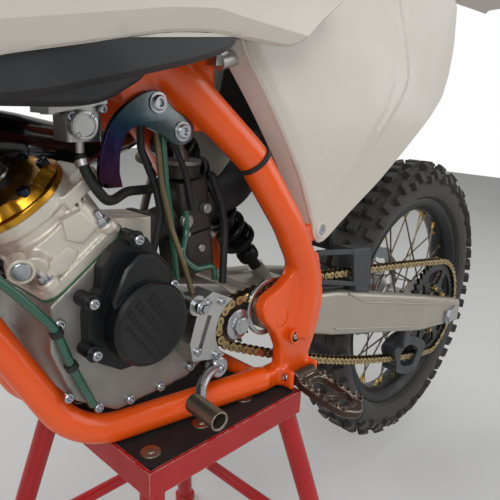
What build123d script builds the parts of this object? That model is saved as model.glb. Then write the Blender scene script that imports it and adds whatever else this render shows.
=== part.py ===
"""Mini motocross bike, an 85 cc class two-stroke, standing on its steel paddock stand.

Millimetres. X points forward, Y to the left, Z up. Every sub-part is modelled from the
centre of the rear axle, as a motorcycle is measured, and moved to the shared origin on
the floor, under the middle of the whole length, when it is written.
"""

from build123d import *
import math
import os

# Chassis: the sizes that place both wheels, the steering head and the stand
WHEELBASE = 1290.0
REAR_AXLE_HEIGHT = 355.0        # above the floor, wheels hanging
FRONT_AXLE_RISE = 20.0          # front axle above the rear one, both forks and shock extended
RAKE = 24.0                     # steering axis, degrees from upright
STEERING_OFFSET = 42.0          # front axle ahead of the steering axis
REAR_REACH = 330.0              # rear fender tip behind the rear axle
FRONT_REACH = 370.0             # front fender tip ahead of the front axle

# Running clearances
FIT = 0.3                       # between seated curved pieces
RUN = 6.0                       # between turning and fixed pieces
BEARING = 0.05                  # between a bearing and its shaft or bore

# Rear wheel, 90/100-16
REAR_TYRE_RADIUS = 284.0        # over the knobs
REAR_SECTION = 41.0             # radius of the tyre's section
REAR_KNOB = 12.0
REAR_RIM_RADIUS = 213.0
REAR_RIM_WIDTH = 58.0
REAR_PITCHES = 26               # knob rows round the tyre

# Front wheel, 70/100-19
FRONT_TYRE_RADIUS = 311.0
FRONT_SECTION = 31.0
FRONT_KNOB = 9.0
FRONT_RIM_RADIUS = 251.0
FRONT_RIM_WIDTH = 48.0
FRONT_PITCHES = 22

RIM_WALL = 7.0
BEAD = 11.0                      # depth of the bead seat below the flange
SPOKE_COUNT = 32
SPOKE = 3.6                     # across a spoke
HUB_RADIUS = 24.0
HUB_FLANGE_RADIUS = 44.0
REAR_HUB_HALF = 34.0
FRONT_HUB_HALF = 28.0
AXLE_RADIUS = 9.0
DISC_THICKNESS = 4.0
REAR_DISC_RADIUS = 100.0
REAR_DISC_Y = -58.0
FRONT_DISC_RADIUS = 110.0
FRONT_DISC_Y = 52.0

# Chain drive
CHAIN_Y = 74.0                  # plane of the chain, left of the middle
CHAIN_PITCH = 12.7
CHAIN_WIDTH = 17.0
CHAIN_SLOT = 8.0                # between the inner plates
CHAIN_PLATE = 11.6              # height of the plates
REAR_TEETH = 48
FRONT_TEETH = 14
TOOTH_THICKNESS = 6.8
CHAIN_CLEAR = 38.0              # radius kept free round the drive sprocket
DRIVE_X = 553.0                 # gearbox shaft
DRIVE_Z = 126.0
SLAVE = (617.0, 166.0)          # clutch slave cylinder above the guard
UPPER_CREST = (475.0, 158.0)    # where the slider lifts the upper run
LOWER_SAG = 22.0

# Frame
PIVOT_X = 498.0                 # swingarm pivot
PIVOT_Z = 127.0
SPAR_RADIUS = 19.5
RAIL_RADIUS = 16.0
DOWN_RADIUS = 19.0
SPAR_Y = 104.5                  # middle of the spars beside the pivot
PLATE_INNER = 88.0              # faces of the pivot plates
PLATE_OUTER = 106.0
CROSS_X = 585.0                 # cross tube that carries the shock absorber
CROSS_Z = 362.0
CROSS_RADIUS = 13.0
RAIL_Z = 43.0                   # middle of the lower rails
RAIL_BEND = 80.0
PEG_X = 464.5                   # middle of a footpeg, along the bike
PEG_Z = 38.0
PEG_LIFT = 10.0                 # degrees that the pegs rise outwards
HEAD_LOW = 612.0                # steering head, measured along the steering axis from the front axle
HEAD_HIGH = 772.0
HEAD_RADIUS = 27.0
HEAD_BORE = 18.0

# Fork and clamps
FORK_SPREAD = 86.0              # half the distance between the legs
CLAMP_OFFSET = 14.0             # legs ahead of the steering axis
FORK_OUTER_RADIUS = 25.0
FORK_INNER_RADIUS = 21.5
FORK_TOP = 812.0
FORK_OUTER_LOW = 300.0
CLAMP_LOW = 590.0
CLAMP_HIGH = 790.0
CLAMP_THICKNESS = 32.0

# Handlebar, from its middle above the clamps
BAR_RADIUS = 11.0
BAR_HEIGHT = 852.0
BAR_HALF = 368.0
BAR_MIDDLE = 50.0               # half the straight middle
GRIP_ROOM = 153.0               # straight end that carries grip and lever
CLAMP_RING = (28.0, 58.0)       # inner and outer face of a bar clamp, from the middle

# Swingarm
ARM_INNER = 89.0                # faces of the arms at the axle
ARM_OUTER = 113.0
ARM_SECTIONS = (                # x, z, inner face, height, width
    (462.0, 112.0, 58.0, 50.0, 24.0),
    (350.0, 86.0, 63.0, 70.0, 25.0),
    (110.0, 30.0, ARM_INNER, 66.0, ARM_OUTER - ARM_INNER),
    (-46.0, -4.0, ARM_INNER, 46.0, ARM_OUTER - ARM_INNER),
)

# Engine
CRANK_X = 684.0
CRANK_Z = 166.0
CYLINDER_LEAN = 36.0
DECK = 76.0                     # crankshaft to the foot of the cylinder
CYLINDER_LENGTH = 74.0
PORT_HEIGHT = 112.0             # exhaust port above the crankshaft, along the cylinder
PORT_REACH = 48.0
HEAD_DIAMETER = 102.0
HEAD_THICKNESS = 16.0
INLET_X = 636.0                 # face of the inlet that the carburettor is bolted to
INLET_HALF = 26.0
COVER_RADIUS = 44.0
COVER_Y = 96.0
COVER_BOLTS = ((692, 252), (742, 199), (741, 147), (650, 198))

# Bodywork
TANK_HALF = 124.0               # half the tank's width

# Stand
STAND_TOP = RAIL_Z - RAIL_RADIUS            # upper side of the rubber mat
STAND_FRONT = 715.0
STAND_LENGTH = 238.0
STAND_WIDTH = 240.0
STAND_Y = 8.0                   # the bike sits a little to the right on its stand
STAND_SKIRT = 31.0
STAND_SPLAY = 62.0
STAND_TUBE = 13.0
MAT_THICKNESS = 4.0

FRONT_AXLE = Vector(WHEELBASE, 0, FRONT_AXLE_RISE)
LEAN = math.radians(RAKE)
AXIS_UP = Vector(-math.sin(LEAN), 0, math.cos(LEAN))
AXIS_AHEAD = Vector(math.cos(LEAN), 0, math.sin(LEAN))
AXIS_FOOT = FRONT_AXLE - AXIS_AHEAD * STEERING_OFFSET
SHIFT = (-(WHEELBASE + FRONT_REACH - REAR_REACH) / 2, 0, REAR_AXLE_HEIGHT)

os.makedirs("parts", exist_ok=True)


def steer(along, ahead=0.0, left=0.0):
    """A point given along the steering axis from the front axle, ahead of it and to the left."""
    return AXIS_FOOT + AXIS_UP * along + AXIS_AHEAD * ahead + Vector(0, left, 0)


def rod(start, end, radius):
    """A round bar between two points."""
    start, end = Vector(*start), Vector(*end)
    plane = Plane(origin=start, z_dir=end - start)
    return Solid.make_cylinder(radius, (end - start).length, plane)


def square_rod(start, end, width):
    """A square bar between two points."""
    start, end = Vector(*start), Vector(*end)
    plane = Plane(origin=start, z_dir=end - start)
    return extrude(plane * Rectangle(width, width), (end - start).length)


def tube(points, radius, bends):
    """A round tube along straight runs joined by tangent arcs."""
    points = [Vector(*p) for p in points]
    if len(points) == 2:
        return rod(points[0], points[1], radius)
    path = FilletPolyline(*points, radius=bends)
    start = Plane(origin=points[0], z_dir=points[1] - points[0])
    return sweep(start * Circle(radius), path=path)


def slab(points, y_low, y_high, round_off=0.0):
    """A plate whose outline is given in side view, from one y to another."""
    plane = Plane(origin=(0, y_low, 0), x_dir=(1, 0, 0), z_dir=(0, -1, 0))
    face = make_face(Polyline(*points, close=True))
    if round_off:
        face = fillet(face.vertices(), round_off)
    return extrude(plane * face, amount=y_high - y_low, dir=(0, 1, 0))


def disc(x, z, y_low, y_high, radius, bore=0.0, sides=0):
    """A round or many-sided disc across the bike, with an optional bore."""
    plane = Plane(origin=(x, y_low, z), x_dir=(1, 0, 0), z_dir=(0, 1, 0))
    face = RegularPolygon(radius, sides) if sides else Circle(radius)
    if bore:
        face = face - (RegularPolygon(bore, sides) if sides else Circle(bore))
    return extrude(plane * face, amount=y_high - y_low)


def both_sides(solid):
    """The solid and its mirror image on the right side."""
    return [solid, mirror(solid, about=Plane.XZ)]


def polar(radius, angle, y):
    """A point of a wheel, from its axle."""
    return Vector(radius * math.cos(angle), y, radius * math.sin(angle))


def faceted_ring(section, count):
    """A ring of flat faces about the Y axis: its section is a closed list of (radius, y)."""
    faces = []
    for i in range(count):
        a, b = 2 * math.pi * i / count, 2 * math.pi * (i + 1) / count
        for (r0, y0), (r1, y1) in zip(section, section[1:] + section[:1]):
            corners = [polar(r0, a, y0), polar(r1, a, y1), polar(r1, b, y1), polar(r0, b, y0)]
            faces.append(Face(Wire.make_polygon(corners, close=True)))
    return Solid(Shell(faces))


def knobbly_tyre(radius, section, knob, flange, rim_width, pitches):
    """A tyre of flat faces: centre and shoulder knobs alternate round its crown.

    The crown is an arc of the section's radius. Cells of the crown are either carcass or
    knob, a knob stands out by its height, and walls join the cells.
    """
    edges = [-68.0, -42.0, -27.0, 27.0, 42.0, 68.0]      # degrees across the section
    side_column, centre_column = (0, 4), (2,)
    core = radius - (section + knob) * math.cos(math.radians(edges[3]))
    count = 2 * pitches

    def corner(i, j, out):
        across, around = math.radians(edges[j]), 2 * math.pi * (i % count) / count
        reach = section + (knob if out else 0.0)
        return polar(core + reach * math.cos(across), around, reach * math.sin(across))

    def raised(i, j):
        return j in (side_column if i % 2 else centre_column)

    def quad(*corners):
        return Face(Wire.make_polygon(corners, close=True))

    faces = []
    columns = len(edges) - 1
    for i in range(count):
        for j in range(columns):
            out = raised(i, j)
            faces.append(quad(corner(i, j, out), corner(i, j + 1, out),
                              corner(i + 1, j + 1, out), corner(i + 1, j, out)))
            if out:
                for k in (i, i + 1):
                    faces.append(quad(corner(k, j, 0), corner(k, j + 1, 0),
                                      corner(k, j + 1, 1), corner(k, j, 1)))
                for k in (j, j + 1):
                    faces.append(quad(corner(i, k, 0), corner(i + 1, k, 0),
                                      corner(i + 1, k, 1), corner(i, k, 1)))
        a, b = 2 * math.pi * i / count, 2 * math.pi * (i + 1) / count
        belly = core - 0.25 * section
        foot, inside = flange - BEAD + FIT, rim_width / 2 - RIM_WALL / 2 - FIT
        for side in (-1, 1):
            top = corner(i, 0 if side < 0 else columns, 0)
            top_next = corner(i + 1, 0 if side < 0 else columns, 0)
            rings = [(belly, side * 0.98 * section), (flange + 2, side * inside), (foot, side * inside)]
            last, last_next = top, top_next
            for r, y in rings:
                here, here_next = polar(r, a, y), polar(r, b, y)
                faces.append(quad(last, here, here_next, last_next))
                last, last_next = here, here_next
        faces.append(quad(polar(foot, a, -inside), polar(foot, a, inside),
                          polar(foot, b, inside), polar(foot, b, -inside)))
    return Solid(Shell(faces))


def rim(radius, width, count):
    """An aluminium rim of flat faces: flanges, bead seats and a dropped well."""
    half = width / 2
    section = [(radius, half), (radius - 14, half), (radius - 26, half * 0.45),
               (radius - 26, -half * 0.45), (radius - 14, -half), (radius, -half),
               (radius, -half + RIM_WALL / 2), (radius - BEAD, -half + RIM_WALL / 2),
               (radius - 20, -half * 0.3), (radius - 20, half * 0.3),
               (radius - BEAD, half - RIM_WALL / 2), (radius, half - RIM_WALL / 2)]
    return faceted_ring(section, count)


def spoked_hub(rim_radius, hub_half):
    """The hub with its flanges, and the crossed spokes that stand in them."""
    barrel = disc(0, 0, -hub_half, hub_half, HUB_RADIUS, AXLE_RADIUS + 6 + FIT)
    solids = [barrel]
    for side in (-1, 1):
        y = side * (hub_half - 5)
        solids.append(disc(0, 0, y - 3, y + 3, HUB_FLANGE_RADIUS, HUB_RADIUS - 2, 16))
    outer = rim_radius - 26 - 3 * FIT
    for k in range(SPOKE_COUNT):
        side = 1 if k % 2 else -1
        lean = 1 if (k // 2) % 2 else -1
        at_rim = 2 * math.pi * (k + 0.5) / SPOKE_COUNT
        at_hub = at_rim + lean * math.radians(62)
        foot = polar(HUB_FLANGE_RADIUS - 3, at_hub, side * (hub_half - 5))
        tip = polar(outer, at_rim, side * 4)
        solids.append(square_rod(foot, tip, SPOKE))
    return fuse_all(solids)


def fuse_all(solids):
    """One piece of metal from several."""
    first, *rest = solids
    return first.fuse(*rest)


def chain_loop():
    """The chain's pitch line, as points one pitch apart round both sprockets."""
    rear = CHAIN_PITCH / 2 / math.sin(math.pi / REAR_TEETH)
    front = CHAIN_PITCH / 2 / math.sin(math.pi / FRONT_TEETH)
    line = []
    for k in range(49):                                   # round the back of the rear sprocket
        a = math.radians(98 + (258 - 98) * k / 48)
        line.append((rear * math.cos(a), rear * math.sin(a)))
    low_start, low_end = line[-1], (DRIVE_X + front * math.cos(math.radians(-68)),
                                    DRIVE_Z + front * math.sin(math.radians(-68)))
    for k in range(1, 60):                                # the slack lower run
        t = k / 60
        sag = LOWER_SAG * 4 * t * (1 - t)
        line.append((low_start[0] + (low_end[0] - low_start[0]) * t,
                     low_start[1] + (low_end[1] - low_start[1]) * t - sag))
    for k in range(17):                                   # round the front of the drive sprocket
        a = math.radians(-68 + (95 + 68) * k / 16)
        line.append((DRIVE_X + front * math.cos(a), DRIVE_Z + front * math.sin(a)))
    top, crest, back = line[-1], UPPER_CREST, line[0]
    for k in range(1, 60):                                # over the slider and down to the rear
        t = k / 60
        x = top[0] + (back[0] - top[0]) * t
        if x > crest[0]:
            u = (top[0] - x) / (top[0] - crest[0])
            z = top[1] + (crest[1] - top[1]) * math.sin(u * math.pi / 2)
        else:
            u = (crest[0] - x) / (crest[0] - back[0])
            z = crest[1] + (back[1] - crest[1]) * u ** 1.15
        line.append((x, z))
    steps = [math.dist(p, q) for p, q in zip(line, line[1:] + line[:1])]
    links = 2 * round(sum(steps) / CHAIN_PITCH / 2)
    pitch, walked, due, pins = sum(steps) / links, 0.0, 0.0, []
    for (x, z), (u, w), step in zip(line, line[1:] + line[:1], steps):
        while due < walked + step and len(pins) < links:
            t = (due - walked) / step
            pins.append((x + (u - x) * t, z + (w - z) * t))
            due += pitch
        walked += step
    return pins


def chain():
    """A loop of waisted plates, open in the middle where the sprockets' teeth run."""
    pins = chain_loop()
    outer, inner = [], []
    count = len(pins)
    for k, (x, z) in enumerate(pins):
        u, w = pins[(k + 1) % count]
        length = math.dist((x, z), (u, w))
        normal = ((w - z) / length, -(u - x) / length)
        for share, height in ((0.0, CHAIN_PLATE / 2), (0.5, CHAIN_PLATE * 0.36)):
            px, pz = x + (u - x) * share, z + (w - z) * share
            outer.append((px - normal[0] * height, pz - normal[1] * height))
            inner.append((px + normal[0] * height, pz + normal[1] * height))
    low, high = CHAIN_Y - CHAIN_WIDTH / 2, CHAIN_Y + CHAIN_WIDTH / 2
    loop = [slab(points, low, high) for points in (outer, inner)]
    loop.sort(key=lambda solid: solid.volume)
    links = loop[1] - loop[0]
    for teeth, x, z in ((REAR_TEETH, 0.0, 0.0), (FRONT_TEETH, DRIVE_X, DRIVE_Z)):
        radius = CHAIN_PITCH / 2 / math.sin(math.pi / teeth) + CHAIN_PLATE / 2 + 1.0
        links -= disc(x, z, CHAIN_Y - CHAIN_SLOT / 2, CHAIN_Y + CHAIN_SLOT / 2, radius, 0, teeth)
    return links


def sprocket(teeth, x, z, bore, windows, phase=0.0):
    """A toothed steel wheel with a bore and a ring of windows."""
    pitch_radius = CHAIN_PITCH / 2 / math.sin(math.pi / teeth)
    outline = []
    for k in range(teeth):
        for share, radius in ((-0.28, pitch_radius - 4.4), (0.28, pitch_radius - 4.4),
                              (0.42, pitch_radius + 4.0), (0.58, pitch_radius + 4.0)):
            a = 2 * math.pi * (k + share) / teeth + phase
            outline.append((x + radius * math.cos(a), z + radius * math.sin(a)))
    low, high = CHAIN_Y - TOOTH_THICKNESS / 2, CHAIN_Y + TOOTH_THICKNESS / 2
    wheel = slab(outline, low, high) - disc(x, z, low - 1, high + 1, bore, 0, 16)
    for k in range(windows):
        a = 2 * math.pi * (k + 0.5) / windows
        hole = polar(pitch_radius * 0.74, a, 0)
        wheel -= disc(x + hole.X, z + hole.Z, low - 1, high + 1, pitch_radius * 0.15, 0, 6)
    return wheel


def rear_wheel():
    """Tyre, rim, spoked hub, sprocket and brake disc, turning together."""
    carrier_end = CHAIN_Y - TOOTH_THICKNESS / 2
    disc_face = REAR_DISC_Y + DISC_THICKNESS / 2
    hub = spoked_hub(REAR_RIM_RADIUS, REAR_HUB_HALF)
    bore = AXLE_RADIUS + BEARING
    hub = fuse_all([hub, disc(0, 0, REAR_HUB_HALF - 1, carrier_end, 50.0, bore),
                    disc(0, 0, disc_face, -REAR_HUB_HALF + 1, 42.0, bore)])
    return {
        "rear_tyre": knobbly_tyre(REAR_TYRE_RADIUS, REAR_SECTION, REAR_KNOB,
                                  REAR_RIM_RADIUS, REAR_RIM_WIDTH, REAR_PITCHES),
        "rear_rim": rim(REAR_RIM_RADIUS, REAR_RIM_WIDTH, 2 * REAR_PITCHES),
        "rear_hub": hub,
        "rear_sprocket": sprocket(REAR_TEETH, 0.0, 0.0, 36.0, 6),
        "rear_disc": brake_disc(0.0, 0.0, REAR_DISC_Y, REAR_DISC_RADIUS, 34.0),
    }


def brake_disc(x, z, y, radius, bore):
    """A brake disc: a braking band on six arms, the centre open."""
    low, high = y - DISC_THICKNESS / 2, y + DISC_THICKNESS / 2
    plate = disc(x, z, low, high, radius, bore, 32)
    for k in range(6):
        a = 2 * math.pi * k / 6
        plate -= disc(x + 0.56 * radius * math.cos(a), z + 0.56 * radius * math.sin(a),
                      low - 1, high + 1, radius * 0.17, 0, 6)
    return plate


def front_wheel():
    """Tyre, rim, spoked hub and brake disc of the front wheel."""
    at = Pos(*FRONT_AXLE)
    hub = fuse_all([spoked_hub(FRONT_RIM_RADIUS, FRONT_HUB_HALF),
                    disc(0, 0, FRONT_HUB_HALF - 1, FRONT_DISC_Y - DISC_THICKNESS / 2, 38.0,
                         AXLE_RADIUS + BEARING)])
    return {
        "front_tyre": at * knobbly_tyre(FRONT_TYRE_RADIUS, FRONT_SECTION, FRONT_KNOB,
                                        FRONT_RIM_RADIUS, FRONT_RIM_WIDTH, FRONT_PITCHES),
        "front_rim": at * rim(FRONT_RIM_RADIUS, FRONT_RIM_WIDTH, 2 * FRONT_PITCHES),
        "front_hub": at * hub,
        "front_disc": at * brake_disc(0.0, 0.0, FRONT_DISC_Y, FRONT_DISC_RADIUS, 30.0),
    }


def rear_axle():
    """Axle, spacers and the adjuster blocks at the ends of the swingarm."""
    reach = 118.0
    shaft = disc(0, 0, -reach, reach, AXLE_RADIUS)
    left = disc(0, 0, CHAIN_Y - TOOTH_THICKNESS / 2 + 0.5, ARM_INNER - FIT, 15.0)
    right = disc(0, 0, -ARM_INNER + FIT, REAR_DISC_Y + DISC_THICKNESS / 2 - 0.5, 15.0)
    blocks = []
    for solid in both_sides(slab([(-20, -13), (20, -13), (20, 13), (-20, 13)],
                                 ARM_OUTER + FIT, ARM_OUTER + 5.0)):
        blocks.append(solid)
    nut = disc(0, 0, ARM_OUTER + 4.0, reach + 2, 15.0, 0, 6)
    return fuse_all([shaft, left, right, nut] + blocks)


def swingarm():
    """Two tapering aluminium arms, the pivot tube and the bridge between them."""
    sections = [Plane(origin=(x, y + w / 2, z), x_dir=(0, 1, 0), z_dir=(1, 0, 0))
                * RectangleRounded(w, h, 7) for x, z, y, h, w in ARM_SECTIONS]
    arm = loft(sections, ruled=True)
    arm -= disc(0, 0, ARM_INNER - 5, ARM_OUTER + 5, AXLE_RADIUS + FIT)
    pivot = disc(PIVOT_X, PIVOT_Z, -PLATE_INNER + FIT, PLATE_INNER - FIT, 22.0, AXLE_RADIUS + FIT)
    link = slab([(455, 90), (500, 107), (500, 147), (455, 135)], 58, 82)
    link -= disc(PIVOT_X, PIVOT_Z, 50, 90, AXLE_RADIUS + FIT)
    bridge = slab([(330, 72), (452, 92), (452, 130), (330, 110)], -66, 66, 6)
    low, high = shock_line()
    way = (high - low).normalized()
    mount = rod(low - way * 42, low - way * FIT, 12.0)
    return fuse_all([pivot, bridge, mount] + both_sides(arm) + both_sides(link))


def shock_line():
    """Lower and upper ends of the shock absorber."""
    low, mount = Vector(395, -38, 140), Vector(CROSS_X, -38, CROSS_Z)
    way = (mount - low).normalized()
    return low, mount - way * (CROSS_RADIUS + FIT)


def spar_line(side):
    """The route of one upper frame tube, from the backbone to the swingarm's pivot plate."""
    return [(720, side * 24, 476), (628, side * 71, 398), (540, side * 85, 322),
            (490, side * 99, 245), (452, side * SPAR_Y, 172), (462, side * SPAR_Y, 92)]


def rail_line(side):
    """The route of one lower cradle tube, from the down tube back to the footrest."""
    return [(842, side * 17, 224), (747, side * 50, RAIL_Z), (512, side * 93, RAIL_Z)]


PLATE = [(430, 200), (417, 160), (413, 129), (420, 95), (434, 62), (446, 36), (490, 36), (494, 60),
         (495, 84), (507, 106), (527, 128), (534, 145), (526, 158), (502, 166), (484, 176), (476, 200)]


def clevis_ear(x):
    """One ear of the fork that a footpeg folds in."""
    return [(x, PEG_Z - 9), (x + 8, PEG_Z - 9), (x + 8, PEG_Z + 17), (x, PEG_Z + 17)]


def main_frame():
    """Steering head, backbone, spars, down tube, cradle rails, pivot plates and gussets."""
    head = rod(steer(HEAD_LOW), steer(HEAD_HIGH), HEAD_RADIUS)
    backbone = rod(steer(HEAD_HIGH - 45), (708, 0, 470), 24.0)
    down = rod(steer(HEAD_LOW + 68), (838, 0, 216), DOWN_RADIUS)
    metal = [head, backbone, down]
    for side in (-1, 1):
        metal.append(tube(spar_line(side), SPAR_RADIUS, [50, 110, 150, 70]))
        metal.append(tube(rail_line(side), RAIL_RADIUS, RAIL_BEND))
        metal.append(rod((840, 0, 236), (842, side * 17, 224), RAIL_RADIUS))
    half = [
        slab(PLATE, PLATE_INNER, PLATE_OUTER),
        slab([(478, 30), (514, 30), (528, 42), (520, 55), (488, 53)], 80, 104),
        slab(clevis_ear(PEG_X - 27.5), 92, 124),
        slab(clevis_ear(PEG_X + 19.5), 92, 124),
        slab([(PEG_X - 27.5, 34), (PEG_X + 27.5, 34), (PEG_X + 27.5, 54), (PEG_X - 27.5, 54)], 92, 107),
        slab([(700, 450), (600, 352), (632, 340), (690, 372), (716, 424)], 58, 66),
        slab([(592, 382), (622, 392), (618, 430), (594, 430)], 66, 78),
        slab([(470, 236), (436, 242), (430, 224), (460, 206)], 92.3, 106),
    ]
    for solid in half:
        metal += both_sides(solid)
    metal.append(rod((520, -84, 46), (520, 84, 46), 10.0))
    metal.append(slab([(748, 520), (776, 530), (776, 580.8), (748, 565.7)], -20, 20))
    metal.append(rod((908, -40, 450), (908, 40, 450), 6.0))
    metal.append(rod((918, -40, 405), (918, 40, 405), 6.0))
    metal.append(rod((CROSS_X, -78, CROSS_Z), (CROSS_X, 78, CROSS_Z), CROSS_RADIUS))
    bore = rod(steer(HEAD_LOW - 5), steer(HEAD_HIGH + 5), HEAD_BORE)
    pivot = disc(PIVOT_X, PIVOT_Z, -120, 120, AXLE_RADIUS + FIT)
    return fuse_all(metal) - bore - pivot


def pivot_bolt():
    """The swingarm's pivot bolt through both frame plates."""
    seat_y = PLATE_OUTER + FIT
    return fuse_all([disc(PIVOT_X, PIVOT_Z, -seat_y - 4, seat_y + 4, AXLE_RADIUS),
                     disc(PIVOT_X, PIVOT_Z, seat_y, seat_y + 5, 14.0, 0, 6),
                     disc(PIVOT_X, PIVOT_Z, -seat_y - 5, -seat_y, 14.0, 0, 6)])


def engine_case():
    """Crankcase halves with the gearbox behind, closed inside."""
    outline = [(560, 92), (610, 66), (705, 62), (752, 92), (774, 150), (772, 198),
               (695, 262), (662, 232), (640, 190), (560, 172), (532, 150), (532, 110)]
    deck = tilted(Pos(0, 0, DECK - FIT) * Box(160, 200, 120, align=(Align.CENTER, Align.CENTER, Align.MIN)))
    pocket = slab([(620, 211), (692, 221.5), (728, 268), (620, 300)], -INLET_HALF - FIT, INLET_HALF + FIT)
    return slab(outline, -58, 58, 8) - deck - pocket


def ignition_cover():
    """Black ignition cover: a low plate, an eight-cornered step, the round lid and four lugs."""
    plate = slab([(695, 253), (715, 241), (726, 228), (728, 207), (738, 194), (743, 184), (743, 150),
                  (733, 132), (708, 116), (660, 116), (640, 137), (635, 160), (641, 193), (646, 215),
                  (664, 234), (675, 250)], 58.3, 72, 3)
    step = slab([(709, 226), (693, 238), (676, 236), (657, 221), (655, 196), (724, 196)], 71, 84)
    boss = disc(CRANK_X, CRANK_Z, 71, COVER_Y - 4, COVER_RADIUS)
    lid = disc(CRANK_X, CRANK_Z, COVER_Y - 5, COVER_Y, COVER_RADIUS - 3)
    lugs = [disc(x, z, 58.3, 79, 7.5) for x, z in COVER_BOLTS]
    return fuse_all([plate, step, boss, lid] + lugs)


def clutch_cover():
    """Right-hand engine cover over the clutch, with the water pump in front."""
    body = slab([(545, 110), (600, 82), (700, 82), (745, 120), (745, 190), (700, 225),
                 (600, 205), (548, 170)], -92, -58.3, 10)
    clutch = disc(600, 150, -104, -91, 52)
    pump = disc(725, 118, -100, -91, 26)
    return fuse_all([body, clutch, pump])


def tilted(solid_function):
    """Places a piece made upright about the crankshaft in the cylinder's lean."""
    return Pos(CRANK_X, 0, CRANK_Z) * Rot(0, CYLINDER_LEAN, 0) * solid_function


def cylinder():
    """Cylinder casting: square foot and jacket, round barrel, exhaust and inlet stubs, a plug."""
    foot = Pos(0, 0, DECK) * extrude(RectangleRounded(104, 112, 18), 12)
    jacket = Pos(-6, 0, DECK + 11) * extrude(RectangleRounded(86, 104, 24), 38)
    barrel = Pos(0, 0, DECK + 11) * extrude(Circle(47), CYLINDER_LENGTH - 11)
    flange = Pos(0, 0, DECK + CYLINDER_LENGTH - 14) * extrude(Circle(50), 14)
    exhaust = Pos(0, 0, PORT_HEIGHT) * Rot(0, 90, 0) * extrude(Circle(17), PORT_REACH)
    valve = Pos(-46, 0, DECK + 45) * extrude(RectangleRounded(38, 60, 10), 20)
    plug = rod((22, 34, PORT_HEIGHT), (38, 53, PORT_HEIGHT), 11.0)
    ear = Pos(-42, 39.5, DECK + 52) * extrude(RectangleRounded(46, 20, 6), 14)
    inlet = slab([(INLET_X, 214), (690, 222), (724, 266), (INLET_X, 258)], -INLET_HALF, INLET_HALF)
    return fuse_all([tilted(fuse_all([jacket, foot, barrel, flange, exhaust, valve, plug, ear])),
                     inlet])


def cylinder_head():
    """Anodised head: a stepped disc with the spark plug in the middle."""
    top = DECK + CYLINDER_LENGTH
    lower = Pos(0, 0, top) * extrude(Circle(HEAD_DIAMETER / 2), HEAD_THICKNESS * 0.55)
    upper = Pos(0, 0, top + HEAD_THICKNESS * 0.55) * extrude(Circle(HEAD_DIAMETER / 2 - 9),
                                                            HEAD_THICKNESS * 0.45)
    plug = Pos(0, 0, top + HEAD_THICKNESS) * extrude(Circle(11), 24)
    neck = Pos(30, 0, top + HEAD_THICKNESS - 1) * extrude(Circle(12), 22)
    return tilted(fuse_all([lower, upper, plug, neck]))


def carburettor():
    """Carburettor: upright slide body, float bowl below, bore along the intake."""
    body = Pos(575, 12, 235) * Rot(0, 8, 0) * extrude(RectangleRounded(44, 50, 8), 60)
    bowl = Pos(572, 12, 186) * Rot(0, 8, 0) * extrude(RectangleRounded(48, 56, 10), 48)
    cap = Pos(583, 12, 296) * extrude(Circle(22), 16)
    throat = rod((545, 12, 262), (632, 4, 236), 20.0)
    flange = slab([(INLET_X - 8, 213), (INLET_X, 213), (INLET_X, 259), (INLET_X - 8, 259)], -22, 24)
    return fuse_all([body, bowl, cap, throat & Pos(INLET_X - 204, 0, 236) * Box(400, 200, 200), flange])


def airbox():
    """Black airbox under the seat, its boot to the carburettor, and the mud flap."""
    box = slab([(470, 330), (420, 520), (200, 540), (150, 480), (250, 360), (330, 318)], -68, 68, 10)
    boot = tube([(544.4, 12.1, 262.2), (505, 15.6, 273.7), (430, 20, 352)], 23.0, [34])
    flap = slab([(362, 330), (345, 318), (308, 170), (322, 168), (340, 230)], -50, 50)
    box -= disc(0, 0, -90, 90, REAR_TYRE_RADIUS + 22)
    return fuse_all([box, boot, flap])


def rear_shock():
    """Shock absorber from the swingarm's bridge to the frame, right of the middle."""
    low, high = shock_line()
    way = (high - low).normalized()
    metal = [rod(low, high, 9.0), rod(low + way * 60, low + way * 66, 27.0)]
    for k in range(8):
        metal.append(rod(low + way * (72 + 20 * k), low + way * (80 + 20 * k), 26.0))
    metal.append(rod(low + way * 228, low + way * 262, 27.0))
    return fuse_all(metal)


def exhaust_pipe():
    """Expansion chamber: from the exhaust port round the front, over the engine to the right."""
    lean = math.radians(CYLINDER_LEAN)
    reach = PORT_REACH + FIT
    port = Vector(CRANK_X + reach * math.cos(lean) + PORT_HEIGHT * math.sin(lean), 0,
                  CRANK_Z - reach * math.sin(lean) + PORT_HEIGHT * math.cos(lean))
    bend = port + Vector(math.cos(lean), 0, -math.sin(lean)) * 15.8
    stations = [(port, 14.2), (bend, 14.5), ((804, -46, 224), 17), ((846, -80, 236), 24),
                ((892, -94, 268), 38), ((872, -104, 312), 45), ((800, -106, 330), 44),
                ((730, -100, 326), 36), ((660, -104, 318), 29), ((580, -131, 328), 23),
                ((480, -144, 366), 16)]
    metal = []
    for (p, r), (q, s) in zip(stations, stations[1:]):
        p, q = Vector(*p), Vector(*q)
        metal.append(Solid.make_cone(r, s, (q - p).length, Plane(origin=p, z_dir=q - p)))
        if q.X > 500:
            metal.append(Pos(*q) * Sphere(s))
    return fuse_all(metal)


def silencer():
    """Aluminium silencer beside the right side panel."""
    start, end = Vector(478, -148, 369), Vector(60, -148, 520)
    way = (end - start).normalized()
    plane = Plane(origin=start, x_dir=(0, 1, 0), z_dir=way)
    can = extrude(plane * Ellipse(32, 40), (end - start).length)
    tip = rod(end - way, end + way * 26, 16.0)
    return fuse_all([can, tip])


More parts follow.
